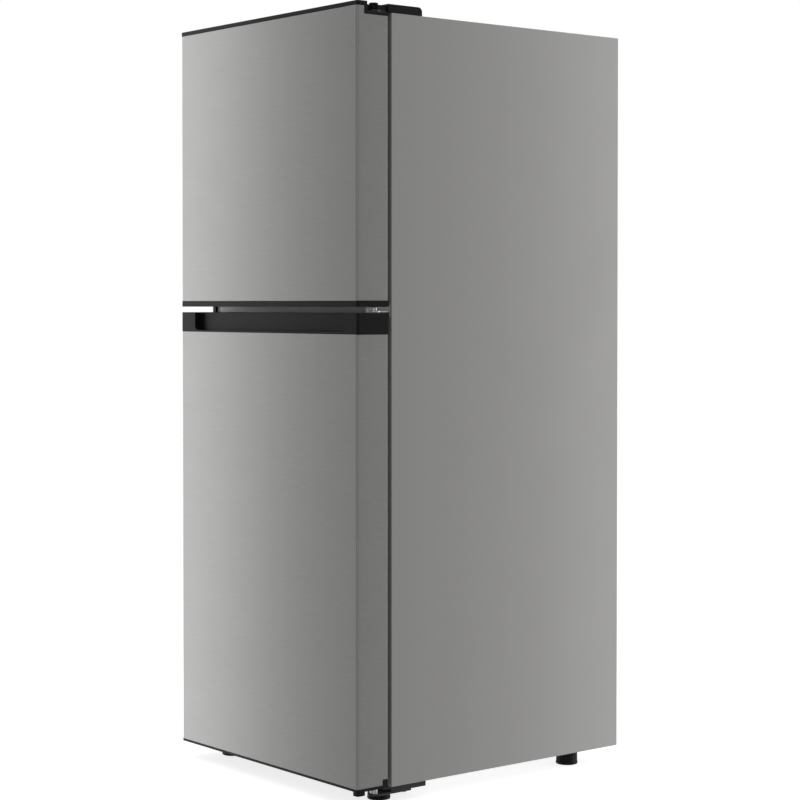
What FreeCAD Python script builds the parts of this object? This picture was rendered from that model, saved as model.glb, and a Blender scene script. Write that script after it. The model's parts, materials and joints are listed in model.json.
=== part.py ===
import FreeCAD, Part
import os
import re

# Top freezer refrigerator. Millimetres, +Z up, front face towards -Y, hinges on the +X side.
# The origin is on the floor, under the centre of the overall box.

SIZES = [
    # overall
    ("width", 545.0), ("cabinet_depth", 539.4), ("cabinet_height", 1321.5), ("foot_height", 29.3),
    ("door_thickness", 65.8), ("gasket_gap", 7.2), ("freezer_door_height", 515.5),
    ("door_gap", 10.4), ("door_lift", 0.4), ("door_rise", 15.9),
    # insulation and compartments
    ("sheet", 0.8), ("liner", 1.5), ("freezer_wall", 52.0), ("fridge_wall", 45.0),
    ("mullion_height", 70.0), ("case_flange", 22.0), ("bay_depth", 165.0), ("bay_height", 200.0),
    ("room_radius", 10.0), ("ledge", 7.0), ("ledge_drop", 6.0), ("ledge_set", 8.0),
    # front rails
    ("rail_sheet", 1.2), ("rail_web", 7.0), ("channel_wall", 2.0), ("channel_inset", 2.0),
    ("rail_drop", 9.0), ("rail_depth", 77.0), ("plug_size", 24.0), ("plug_width", 10.0), ("plug_thick", 3.0),
    # doors
    ("corner_radius", 4.0), ("freezer_top_cap", 7.8), ("freezer_low_cap", 10.6),
    ("fridge_top_cap", 36.3), ("fridge_low_cap", 4.4), ("cap_proud", 1.4), ("cap_lip", 14.0),
    ("grip_lip", 22.0), ("lip_set", 4.0), ("steel_return", 9.0), ("tab_size", 10.0),
    ("dyke_play", 5.0), ("dyke_width", 26.0), ("dyke_depth", 32.0), ("dyke_radius", 8.0),
    ("gasket_inset", 10.5), ("gasket_width", 18.0), ("gasket_clear", 0.7), ("gasket_radius", 5.0),
    ("pocket_left", 46.5), ("pocket_right", 35.0), ("pocket_deep", 12.0), ("pocket_hook", 18.0),
    ("pocket_lip", 4.0), ("pocket_floor", 17.0), ("pocket_radius", 8.0), ("pocket_rim", 3.0),
    ("groove_high", 15.0), ("groove_back", 6.0),
    ("stop_reach", 4.0), ("stop_front", 1.5), ("stop_deep", 18.0), ("stop_drop", 7.6), ("stop_inset", 3.0),
    # door bins
    ("bin_depth", 93.0), ("bin_wall", 2.5), ("bin_high", 75.0), ("bottle_bin_high", 105.0),
    ("bin_radius", 6.0), ("bin_play", 0.5), ("bin_lift", 8.0),
    ("egg_half", 88.0), ("egg_front", 12.0), ("egg_back", 11.0), ("egg_high", 22.0),
    ("egg_pitch", 44.0), ("egg_row", 36.0), ("egg_radius", 15.5), ("egg_floor", 4.0),
    # hinges
    ("hinge_inset", 14.0), ("hinge_setback", 21.0), ("pin_radius", 4.0), ("pin_clear", 0.05),
    ("pin_grip", 13.0), ("hinge_plate", 3.0), ("hinge_half", 13.0), ("hinge_edge", 4.0),
    ("recess_front", 16.0), ("recess_wall", 5.0), ("recess_drop", 5.8), ("recess_rim", 5.0),
    ("cover_height", 15.0), ("cover_reach", 68.0), ("cover_width", 60.0), ("cover_wall", 2.0),
    ("cover_front", 0.6), ("cover_round", 8.0), ("collar_radius", 7.7), ("collar_high", 15.6),
    ("tongue_high", 12.0), ("bracket_wing", 52.0), ("bracket_leg", 56.0),
    ("bolt_radius", 4.0), ("bolt_head", 2.4), ("washer_wide", 3.0), ("door_clear", 0.4),
    ("low_plate_half", 11.0), ("low_plate_deep", 44.0),
    # feet
    ("foot_radius", 20.3), ("front_foot_in", 48.0), ("front_foot_back", 9.6), ("foot_round", 1.5),
    ("rear_foot_in", 43.0), ("rear_foot_back", 88.0),
    ("stud_radius", 5.0), ("stud_high", 12.0), ("stud_clear", 1.0), ("boss_radius", 9.0),
    # freezer compartment
    ("shelf_front", 118.0), ("play", 1.5), ("slot_long", 26.0), ("grid_high", 5.0), ("grid_slot", 13.0),
    ("grid_edge", 14.0),
    ("cover_gap", 52.0), ("cover_sheet", 2.5), ("fan_radius", 40.0), ("shaft_radius", 1.5),
    ("hub_radius", 9.0), ("blade_width", 14.0), ("blade_sheet", 1.4), ("motor_radius", 17.0),
    ("fin_sheet", 0.6), ("coil_radius", 4.0),
    ("tray_hang", 58.6), ("tray_length", 150.0), ("tray_centre", 99.0), ("tray_side", 4.0),
    ("cradle_half", 45.0), ("cradle_bar", 3.0), ("cradle_drop", 14.0), ("cradle_rise", 46.0),
    ("tub_half", 37.0), ("tub_high", 12.0), ("bin_below", 45.0), ("bin_ride", 0.5),
    # fridge compartment
    ("shelf_glass", 4.0), ("trim", 9.0), ("trim_lap", 4.0), ("trim_end", 60.0), ("drawer_wall", 2.5),
    ("drawer_radius", 12.0), ("duct_depth", 22.0), ("duct_half", 60.0), ("duct_wall", 3.0),
    ("knob_radius", 17.0), ("knob_high", 11.0), ("stem_radius", 3.0),
    ("control_high", 38.0), ("control_half", 95.0), ("control_deep", 122.0), ("lamp_long", 72.0),
    ("lamp_play", 0.5),
    # machinery
    ("can_radius", 60.0), ("can_high", 118.0), ("can_x", 60.0), ("plate", 1.5), ("saddle_half", 66.0),
    ("grommet_high", 12.0), ("grommet_radius", 11.0), ("grommet_spread", 52.0),
    ("tube_radius", 3.0), ("capillary_radius", 1.6), ("drier_radius", 9.0), ("drier_high", 76.0),
    ("tray_half", 74.0), ("tray_wall", 2.0), ("inlet_in", 43.0), ("inlet_up", 71.0),
]

# Positions worked out from the sizes above.
PLACES = {
    "side": "width / 2",
    "steel_side": "side - cap_proud - sheet",
    "depth": "cabinet_depth + gasket_gap + door_thickness",
    "y_front": "0 - depth / 2",
    "y_door": "y_front + door_thickness",
    "y_case": "y_door + gasket_gap",
    "y_back": "depth / 2",
    "z_base": "foot_height",
    "z_top": "z_base + cabinet_height",
    "freezer_high": "z_top + door_rise",
    "freezer_low": "freezer_high - freezer_door_height",
    "fridge_high": "freezer_low - door_gap",
    "fridge_low": "z_base + door_lift",
    "z_split": "fridge_high + door_gap / 2",
    "fridge_floor": "z_base + fridge_wall",
    "fridge_roof": "z_split - mullion_height / 2",
    "freezer_floor": "z_split + mullion_height / 2",
    "freezer_roof": "z_top - freezer_wall",
    "freezer_space": "freezer_roof - freezer_floor",
    "fridge_space": "fridge_roof - hump_high",
    "fridge_side": "side - fridge_wall",
    "freezer_side": "side - freezer_wall",
    "fridge_back": "y_back - fridge_wall",
    "freezer_back": "y_back - freezer_wall",
    "bay_front": "y_back - bay_depth",
    "bay_high": "z_base + bay_height",
    "hump_front": "bay_front - fridge_wall",
    "hump_high": "bay_high + fridge_wall",
    "pin_x": "side - hinge_inset",
    "pin_y": "y_door - hinge_setback",
    "recess_floor": "z_top - recess_drop",
    "recess_y": "y_front + recess_front",
    "shelf_y": "y_case + shelf_front",
    "cover_y": "freezer_back - cover_gap",
    "rail_low": "z_base - rail_drop",
    "foot_x": "side - front_foot_in",
    "foot_y": "y_case + front_foot_back",
    "middle_z": "fridge_high + 1",
    "middle_top": "middle_z + hinge_plate",
    "fan_z": "freezer_floor + freezer_space * 0.74",
    "can_y": "(bay_front + y_back) / 2",
    "can_low": "z_base + plate + grommet_high",
    "crisper_top": "hump_high - 12",
    "inlet_x": "0 - side + inlet_in",
    "inlet_z": "z_base + inlet_up",
    "knob_x": "control_half * 0.55",
    "knob_z": "fridge_roof - control_high / 2",
    "tray_z": "freezer_roof - tray_hang",
    "tray_y": "shelf_y + tray_centre",
    "tray_left": "0 - freezer_side + tray_side",
    "tray_right": "tray_left + tray_length",
}

doc = FreeCAD.newDocument("TopFreezerRefrigerator")
sheet = doc.addObject("Spreadsheet::Sheet", "Sizes")
for row, (word, value) in enumerate(SIZES, start=1):
    sheet.set("A%d" % row, word)
    sheet.set("B%d" % row, str(value))
    sheet.setAlias("B%d" % row, word)
doc.recompute()

SIZE_WORDS = {word for word, _ in SIZES}
AXES = {"x": FreeCAD.Vector(1, 0, 0), "y": FreeCAD.Vector(0, 1, 0), "z": FreeCAD.Vector(0, 0, 1)}
NODES = []


def formula(text):
    """Writes a position in terms of the sheet's cells."""
    def swap(match):
        word = match.group(0)
        if word in PLACES:
            return "(" + formula(PLACES[word]) + ")"
        return "Sizes." + word if word in SIZE_WORDS else word
    return re.sub(r"[a-z_]+", swap, str(text))


def number(text):
    return float(sheet.evalExpression(formula(text)))


def bind(item, **fields):
    for field, text in fields.items():
        item.setExpression(field.replace("__", "."), formula(text))


def move(item, x, y, z, rotation=None):
    if rotation:
        item.Placement = FreeCAD.Placement(FreeCAD.Vector(), rotation)
    bind(item, Placement__Base__x=x, Placement__Base__y=y, Placement__Base__z=z)
    return item


def box(name, x, y, z):
    """A block between two positions on each axis."""
    item = doc.addObject("Part::Box", name)
    bind(item, Length="(%s) - (%s)" % (x[1], x[0]), Width="(%s) - (%s)" % (y[1], y[0]),
         Height="(%s) - (%s)" % (z[1], z[0]))
    return move(item, x[0], y[0], z[0])


TURNS = {"x": FreeCAD.Rotation(AXES["y"], 90), "y": FreeCAD.Rotation(AXES["x"], -90), "z": None}


def rod(name, at, radius, length, axis="z"):
    """A cylinder that starts at a point and runs along an axis."""
    item = doc.addObject("Part::Cylinder", name)
    bind(item, Radius=radius, Height=length)
    return move(item, *at, TURNS[axis])


def cut(name, base, *tools):
    item = doc.addObject("Part::Cut", name)
    item.Base = base
    item.Tool = tools[0] if len(tools) == 1 else fuse(name + "_tools", *tools)
    item.Refine = True
    return item


def fuse(name, *pieces):
    item = doc.addObject("Part::MultiFuse", name)
    item.Shapes = list(pieces)
    item.Refine = True
    return item


def group(name, *pieces):
    item = doc.addObject("Part::Compound", name)
    item.Links = list(pieces)
    return item


def fillet(name, base, radius, axis=None, chosen=None):
    """Rounds the straight edges along an axis, or every edge that is chosen."""
    doc.recompute()
    size = number(radius)
    edges = []
    for index, edge in enumerate(base.Shape.Edges, start=1):
        straight = edge.Curve.TypeId == "Part::GeomLine"
        along = axis is None or (straight and abs(edge.tangentAt(edge.FirstParameter) * AXES[axis]) > 0.99)
        if along and (chosen is None or chosen(edge)):
            edges.append((index, size, size))
    item = doc.addObject("Part::Fillet", name)
    item.Base = base
    item.Edges = edges
    return item


def soft_box(name, x, y, z, radius, axis):
    return fillet(name, box(name + "_block", x, y, z), radius, axis)


def node(item, label):
    item.Label = label
    NODES.append(item)
    return item


def spread(count, low, high):
    """Evenly spaced positions between two ends, both included."""
    return ["(%s) + ((%s) - (%s)) * %d / %d" % (low, high, low, i, count - 1) for i in range(count)]


def open_tray(name, x, y, z, wall, radius):
    """A tub with an open top and rounded upright corners."""
    outer = soft_box(name + "_out", x, y, z, radius, "z")
    inner = soft_box(name + "_in", (x[0] + " + " + wall, x[1] + " - " + wall),
                     (y[0] + " + " + wall, y[1] + " - " + wall),
                     (z[0] + " + " + wall, z[1] + " + 1"), radius + " - " + wall, "z")
    return cut(name, outer, inner)


def pipe(name, points, radius):
    """A round tube through points that differ along one axis at a time."""
    pieces = []
    for index, (first, second) in enumerate(zip(points, points[1:])):
        axis = [i for i in range(3) if first[i] != second[i]][0]
        start, end = (first, second)
        if number(end[axis]) < number(start[axis]):
            start, end = end, start
        pieces.append(rod("%s_run%d" % (name, index), start, radius,
                          "(%s) - (%s)" % (end[axis], start[axis]), "xyz"[axis]))
    for index, point in enumerate(points[1:-1]):
        ball = doc.addObject("Part::Sphere", "%s_bend%d" % (name, index))
        bind(ball, Radius=radius)
        pieces.append(move(ball, *point))
    return fuse(name, *pieces) if len(pieces) > 1 else pieces[0]


# ---------------------------------------------------------------- cabinet shell

def cabinet_shell():
    outer = box("wrap_out", ("0 - side", "side"), ("y_case", "y_back"), ("z_base", "z_top"))
    inner = box("wrap_in", ("0 - side + sheet", "side - sheet"), ("y_case + sheet", "y_back + 1"),
                ("z_base - 1", "z_top - sheet"))
    mouth = box("wrap_mouth", ("0 - side + case_flange", "side - case_flange"),
                ("y_case - 1", "y_case + sheet + 1"), ("z_base - 1", "z_top - case_flange"))
    node(cut("wrap_shell", outer, inner, mouth), "cabinet_wrap")

    node(box("back_sheet", ("0 - side + sheet", "side - sheet"), ("y_back - sheet", "y_back"),
             ("bay_high + sheet", "z_top - sheet")), "back_panel")

    inside = ("0 - side + sheet", "side - sheet")
    floor = box("floor_sheet", inside, ("y_case + sheet", "bay_front"), ("z_base", "z_base + sheet"))
    riser = box("riser_sheet", inside, ("bay_front - sheet", "bay_front"), ("z_base", "bay_high + sheet"))
    roof = box("bay_roof_sheet", inside, ("bay_front - sheet", "y_back"), ("bay_high", "bay_high + sheet"))
    holes = [rod("floor_hole_%s" % side, (sign + "foot_x", "foot_y", "z_base - 1"),
                 "stud_radius + stud_clear", "sheet + 2") for side, sign in (("l", "0 - "), ("r", ""))]
    node(cut("stepped_sheet", fuse("stepped_sheets", floor, riser, roof), *holes), "bottom_panel")

    block = box("foam_block", inside, ("y_case + sheet", "y_back - sheet"),
                ("z_base + sheet", "z_top - sheet"))
    bay = box("foam_bay", inside, ("bay_front - sheet", "y_back"), ("z_base", "bay_high + sheet"))
    pockets = [rod("foam_pocket_%s" % side, (sign + "foot_x", "foot_y", "z_base"),
                   "stud_radius + stud_clear", "stud_high") for side, sign in (("l", "0 - "), ("r", ""))]
    rail_room = box("foam_rail_room", ("0 - side + case_flange", "side - case_flange"),
                    ("y_case", "y_case + rail_web + 1"), ("fridge_roof", "freezer_floor"))
    node(cut("foam_body", block, bay, *pockets, rail_room, freezer_hollow("foam_freezer", "liner"),
             fridge_hollow("foam_fridge", "liner")), "foam_insulation")


def freezer_hollow(name, grow):
    """The freezer compartment, grown outwards by a wall."""
    return soft_box(name, ("0 - freezer_side - " + grow, "freezer_side + " + grow),
                    ("y_case - 1", "freezer_back + " + grow),
                    ("freezer_floor - " + grow, "freezer_roof + " + grow), "room_radius", "y")


def fridge_hollow(name, grow):
    """The fridge compartment, with the step over the machinery bay."""
    room = soft_box(name + "_room", ("0 - fridge_side - " + grow, "fridge_side + " + grow),
                    ("y_case - 1", "fridge_back + " + grow),
                    ("fridge_floor - " + grow, "fridge_roof + " + grow), "room_radius", "y")
    hump = box(name + "_hump", ("0 - side", "side"), ("hump_front + " + grow, "y_back"),
               ("z_base", "hump_high - " + grow))
    return cut(name, room, hump)


def liners():
    for name, hollow, floor, roof in (("freezer", freezer_hollow, "freezer_floor", "freezer_roof"),
                                      ("fridge", fridge_hollow, "fridge_floor", "fridge_roof")):
        front = box(name + "_front", ("0 - side - 1", "side + 1"), ("y_case - 2", "y_case + sheet"),
                    (floor + " - 30", roof + " + 30"))
        shell = cut(name + "_shell", hollow(name + "_out", "liner"), hollow(name + "_in", "0"), front)
        pieces = [shell]
        side = name + "_side"
        for index, level in enumerate(LEDGES[name]):
            for hand, span in (("l", ("0 - %s - 0.5" % side, "0 - %s + ledge" % side)),
                               ("r", ("%s - ledge" % side, "%s + 0.5" % side))):
                pieces.append(box("%s_ledge_%d%s" % (name, index, hand), span,
                                  ("shelf_y + ledge_set", LEDGE_BACKS[name]),
                                  (level + " - ledge_drop", level)))
        node(fuse(name + "_liner_body", *pieces), name + "_liner")


FRIDGE_SHELVES = ["hump_high + fridge_space * %s" % part for part in (0.28, 0.52, 0.75)]
FREEZER_SHELF = "freezer_floor + freezer_space * 0.5"
LEDGES = {"freezer": [FREEZER_SHELF], "fridge": ["crisper_top"] + FRIDGE_SHELVES}
LEDGE_BACKS = {"freezer": "cover_y - 4", "fridge": "hump_front - 4"}


def front_rails():
    across = ("0 - side + case_flange", "side - case_flange")
    web = ("y_case", "y_case + rail_web")
    face = box("mullion_face", across, ("y_case", "y_case + rail_sheet"),
               ("fridge_roof + liner", "freezer_floor - liner"))
    web_low = box("mullion_low", across, web, ("fridge_roof + liner", "fridge_roof + liner + rail_sheet"))
    web_high = box("mullion_high", across, web,
                   ("freezer_floor - liner - rail_sheet", "freezer_floor - liner"))
    sill = box("sill", across, ("y_case", "y_case + sheet"), ("z_base", "fridge_floor - liner"))
    node(group("cross_rails", fuse("mullion_channel", face, web_low, web_high), sill), "front_cross_rails")
    node(soft_box("plug_cap", ("0 - side + 1", "0 - side + 1 + plug_width"),
                  ("y_case - plug_thick", "y_case"),
                  ("z_split - plug_size / 2", "z_split + plug_size / 2"), "2", "y"), "hinge_hole_plug")

    front, back = "y_case + 0.5", "y_case + rail_depth"
    outer = box("rail_out", ("0 - side + channel_inset", "side - channel_inset"), (front, back),
                ("rail_low", "z_base"))
    inner = box("rail_in", ("0 - side + channel_inset + channel_wall", "side - channel_inset - channel_wall"),
                (front + " + channel_wall", back + " - channel_wall"),
                ("rail_low + channel_wall", "z_base + 1"))
    channel = cut("rail_channel", outer, inner)
    bosses = [rod("rail_boss_%s" % side, (sign + "foot_x", "foot_y", "rail_low"), "boss_radius",
                  "rail_drop") for side, sign in (("l", "0 - "), ("r", ""))]
    bores = [rod("rail_bore_%s" % side, (sign + "foot_x", "foot_y", "rail_low - 1"),
                 "stud_radius + pin_clear", "rail_drop + 2") for side, sign in (("l", "0 - "), ("r", ""))]
    node(cut("rail_body", fuse("rail_solid", channel, *bosses), *bores), "front_base_rail")


def feet():
    for side, sign in (("left", "0 - "), ("right", "")):
        at_x = sign + "foot_x"
        pad = fillet("pad_%s" % side, rod("pad_block_%s" % side, (at_x, "foot_y", "0"), "foot_radius",
                                          "rail_low - 1"), "foot_round", None, lambda edge: edge.Closed)
        stud = rod("stud_%s" % side, (at_x, "foot_y", "rail_low - 2"), "stud_radius",
                   "rail_drop + stud_high - 1")
        node(fuse("foot_%s" % side, pad, stud), "levelling_foot_%s" % side)
    pads = [fillet("rear_pad_%s" % side, rod("rear_pad_block_%s" % side,
                   (sign + "(side - rear_foot_in)", "y_back - rear_foot_back", "0"), "foot_radius",
                   "foot_height"), "foot_round", None,
                   lambda edge: edge.Closed and edge.BoundBox.ZMax < number("foot_round * 2"))
            for side, sign in (("l", "0 - "), ("r", ""))]
    node(group("rear_pads", *pads), "rear_feet")


# ---------------------------------------------------------------- hinges

def hinges():
    across = ("pin_x - hinge_half", "side - hinge_edge")
    plate = box("top_plate", across, ("pin_y", "y_case + cover_reach - 14"), ("z_top", "z_top + hinge_plate"))
    nose = rod("top_nose", ("pin_x", "pin_y", "z_top"), "hinge_half - 1", "hinge_plate")
    wing = box("top_wing", ("pin_x - bracket_wing", "side - hinge_edge - 2"),
               ("y_case + 14", "y_case + cover_reach - 12"), ("z_top", "z_top + hinge_plate"))
    pin = rod("top_pin", ("pin_x", "pin_y", "recess_floor - pin_grip"), "pin_radius",
              "recess_drop + pin_grip + hinge_plate")
    node(fuse("top_hinge", plate, nose, wing, pin), "top_hinge_bracket")

    lid = box("cover_lid", ("pin_x - cover_width", "side - 1"),
              ("y_door + cover_front", "y_case + cover_reach"), ("z_top", "z_top + cover_height"))
    rear = fillet("cover_rear", lid, "cover_round", "x", lambda edge: edge.BoundBox.YMin > number("y_case")
                  and edge.BoundBox.ZMin > number("z_top + 1"))
    hollow = box("cover_room", ("pin_x - cover_width + cover_wall", "side - 1 - cover_wall"),
                 ("y_door + cover_front + cover_wall", "y_case + cover_reach - cover_wall"),
                 ("z_top - 1", "z_top + hinge_plate + bolt_head + 1"))
    slot = box("cover_slot", ("pin_x - hinge_half - 0.5", "side - hinge_edge + 0.5"),
               ("y_door", "y_door + cover_front + cover_wall + 1"), ("z_top - 1", "z_top + hinge_plate"))
    tongue = box("cover_tongue", ("pin_x - hinge_half + 1", "side - hinge_edge"),
                 ("pin_y", "y_door + cover_front + 1"), ("z_top + hinge_plate", "z_top + tongue_high"))
    collar = rod("cover_collar", ("pin_x", "pin_y", "z_top + hinge_plate"), "collar_radius",
                 "collar_high - hinge_plate")
    node(fuse("hinge_cover", cut("cover_shell", rear, hollow, slot), tongue, collar), "top_hinge_cover")

    plate = box("middle_plate", across, ("pin_y", "y_case"), ("middle_z", "middle_top"))
    nose = rod("middle_nose", ("pin_x", "pin_y", "middle_z"), "hinge_half - 1", "hinge_plate")
    tab = box("middle_tab", ("pin_x - bracket_leg", "side - hinge_edge"), ("y_case - 2", "y_case"),
              ("z_split - plug_size / 2", "z_split + plug_size / 2"))
    pin = rod("middle_pin", ("pin_x", "pin_y", "middle_z - pin_grip"), "pin_radius",
              "2 * pin_grip + door_gap")
    washer = rod("middle_washer", ("pin_x", "pin_y", "middle_z"), "pin_radius + washer_wide",
                 "freezer_low - door_clear - (middle_z)")
    node(fuse("middle_bracket", plate, nose, tab, pin, washer), "middle_hinge")

    plate = box("low_plate", ("pin_x - low_plate_half", "side - 1"), ("pin_y", "y_case + low_plate_deep"),
                ("rail_low - hinge_plate", "rail_low"))
    nose = rod("low_nose", ("pin_x", "pin_y", "rail_low - hinge_plate"), "low_plate_half", "hinge_plate")
    pin = rod("low_pin", ("pin_x", "pin_y", "rail_low - hinge_plate"), "pin_radius",
              "hinge_plate + rail_drop + pin_grip")
    washer = rod("low_washer", ("pin_x", "pin_y", "rail_low"), "pin_radius + washer_wide",
                 "fridge_low - door_clear - (rail_low)")
    node(fuse("low_bracket", plate, nose, pin, washer), "bottom_hinge")

    top = [rod("bolt_top%d" % i, (x, "y_case + " + y, "z_top + hinge_plate"), "bolt_radius + 1", "bolt_head")
           for i, (x, y) in enumerate((("pin_x - 40", "26"), ("pin_x - 40", "44"), ("pin_x", "34")))]
    middle = [rod("bolt_middle%d" % i, (x, "y_case - 2 - bolt_head", "z_split"), "bolt_radius",
                  "bolt_head", "y") for i, x in enumerate(("pin_x - 46", "pin_x - 26"))]
    low = [rod("bolt_low%d" % i, (x, "y_case + 34", "rail_low - hinge_plate - bolt_head"),
               "bolt_radius", "bolt_head") for i, x in enumerate(("pin_x - 6", "pin_x + 6"))]
    node(group("bolts", *top, *middle, *low), "hinge_bolts")


# ---------------------------------------------------------------- doors

def at_front(depth):
    """Chooses the edges that lie in the first few millimetres behind the door's face."""
    return lambda edge: edge.BoundBox.YMax < number("y_front + %s" % depth)


def skin(name, low, high):
    """Folded steel front and sides, with a return along each rear edge."""
    outer = fillet(name + "_outer", box(name + "_out", ("0 - side + cap_proud", "side - cap_proud"),
                                        ("y_front", "y_door"), (low, high)),
                   "corner_radius", "z", at_front("1"))
    inner = fillet(name + "_inner", box(name + "_in", ("0 - steel_side", "steel_side"),
                                        ("y_front + sheet", "y_door - sheet"), (low + " - 1", high + " + 1")),
                   "corner_radius - sheet", "z", at_front("sheet + 1"))
    mouth = box(name + "_mouth", ("0 - side + steel_return", "side - steel_return"),
                ("y_door - sheet - 1", "y_door + 1"), (low + " - 1", high + " + 1"))
    return cut(name + "_skin", outer, inner, mouth)


def plug(name, back, low, high):
    """A block that fills the folded skin from its front inwards."""
    return fillet(name, box(name + "_block", ("0 - steel_side", "steel_side"),
                            ("y_front + sheet", back), (low, high)),
                  "corner_radius - sheet", "z", at_front("sheet + 1"))


def cap(name, low, high, lip_low, lip_high):
    """A plastic end cap with a lip that plugs the folded skin."""
    body = fillet(name + "_body", box(name + "_block", ("0 - side", "side"), ("y_front", "y_door"),
                                      (low, high)), "corner_radius", "z", at_front("1"))
    return fuse(name + "_solid", body, plug(name + "_lip", "y_door - lip_set", lip_low, lip_high))


def inner_panel(name, low, high, side, floor, roof, gasket_low, gasket_high, notch=None):
    """Door liner with the raised dyke, the foam behind it, and the magnetic gasket."""
    outer_x = ("0 - %s + dyke_play" % side, "%s - dyke_play" % side)
    inner_x = ("0 - %s + dyke_play + dyke_width" % side, "%s - dyke_play - dyke_width" % side)
    sheet_plate = box(name + "_plate", ("0 - side + steel_return", "side - steel_return"),
                      ("y_door - liner", "y_door"), (low, high))

    def ring(tag, grow, start, end):
        out = soft_box(name + tag + "_o", (outer_x[0] + " + " + grow, outer_x[1] + " - " + grow),
                       (start, end), (floor + " + dyke_play + " + grow, roof + " - dyke_play - " + grow),
                       "dyke_radius", "y")
        hole = box(name + tag + "_i", (inner_x[0] + " - " + grow, inner_x[1] + " + " + grow),
                   (start + " - 1", end + " + 1"),
                   (floor + " + dyke_play + dyke_width - " + grow,
                    roof + " - dyke_play - dyke_width + " + grow))
        return cut(name + tag, out, hole)

    solid = fuse(name + "_panel", sheet_plate, ring("_dyke", "0", "y_door - 0.5", "y_door + dyke_depth"))
    core = ring("_core", "liner", "y_door - 3", "y_door + dyke_depth - liner")
    panel = cut(name + "_liner_body", solid, core, *([notch] if notch else []))
    node(panel, name + "_liner")

    out = soft_box(name + "_seal_o", ("0 - side + gasket_inset", "side - gasket_inset"),
                   ("y_door", "y_case - gasket_clear"), (gasket_low, gasket_high), "gasket_radius", "y")
    hole = box(name + "_seal_i", ("0 - side + gasket_inset + gasket_width",
                                  "side - gasket_inset - gasket_width"), ("y_door - 1", "y_case + 1"),
               (gasket_low + " + gasket_width", gasket_high + " - gasket_width"))
    node(cut(name + "_seal", out, hole), name + "_gasket")
    return ring("_fill", "liner", "y_door - 3", "y_door + dyke_depth - liner")


def door_bin(name, side, level, high):
    reach = "(%s - dyke_play - dyke_width - bin_play)" % side
    return open_tray(name, ("0 - " + reach, reach), ("y_door + bin_play", "y_door + bin_depth"),
                     (level, "%s + %s" % (level, high)), "bin_wall", "bin_radius")


def pin_hole(name, low, high):
    return rod(name, ("pin_x", "pin_y", low), "pin_radius + pin_clear", "(%s) - (%s)" % (high, low))


def freezer_door():
    low, high = "freezer_low + freezer_low_cap", "freezer_high - freezer_top_cap"
    well = "pin_x - hinge_half - 4"
    notch = box("fz_notch", (well, "side + 1"), ("recess_y", "y_door + 1"),
                ("recess_floor", "freezer_high + 1"))
    node(cut("fz_steel", skin("fz", low, high), notch), "freezer_door_skin")

    solid = cap("fz_top", high, "freezer_high", high + " - cap_lip", high)
    block = box("fz_well", (well + " - 2", "steel_side"), ("recess_y - 2", "y_door - liner"),
                ("recess_floor - pin_grip - 2", "freezer_high"))
    rim = box("fz_rim", (well, "side"), ("recess_y", "y_door"), ("recess_floor", "recess_floor + recess_rim"))
    wall = box("fz_well_wall", (well, "side"), ("recess_y", "recess_y + recess_wall"),
               ("recess_floor", "freezer_high"))
    room = box("fz_well_room", (well, "side + 1"), ("recess_y + recess_wall", "y_door + 1"),
               ("recess_floor + recess_rim", "freezer_high + 1"))
    node(cut("fz_top_body", fuse("fz_top_solids", solid, block, rim, wall), room,
             pin_hole("fz_top_hole", "recess_floor - pin_grip - 1", "recess_floor + recess_rim + 1")),
         "freezer_door_top_cap")

    solid = cap("fz_low", "freezer_low", low, low, low + " + cap_lip")
    grip = soft_box("fz_grip", ("0 - side + pocket_left", "side - pocket_right"),
                    ("y_front + pocket_lip + 2", "y_front + pocket_hook + groove_back"),
                    ("freezer_low - pocket_radius - 1", "freezer_low + groove_high"), "pocket_radius", "y")
    node(cut("fz_low_body", solid, grip, pin_hole("fz_low_hole", "freezer_low - 1", "freezer_low + 22")),
         "freezer_door_bottom_cap")

    fill = inner_panel("freezer_door", low, high, "freezer_side", "freezer_floor", "freezer_roof",
                       "freezer_low + gasket_inset", "z_top - 8", notch)
    block = plug("fz_foam_plug", "y_door - liner", low + " + cap_lip", high + " - cap_lip")
    corner = box("fz_foam_corner", (well + " - 2", "side"), ("recess_y - 2", "y_door"),
                 ("recess_floor - pin_grip - 2", high))
    node(cut("fz_foam_body", fuse("fz_foam", block, fill), corner), "freezer_door_foam")

    levels = ["freezer_floor + dyke_play + dyke_width + %s" % up
              for up in ("bin_lift", "freezer_space * 0.45")]
    bins = [door_bin("fz_bin%d" % i, "freezer_side", level, "min(bin_high; freezer_space * 0.3)")
            for i, level in enumerate(levels)]
    node(group("fz_bins", *bins), "freezer_door_bins")


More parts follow.
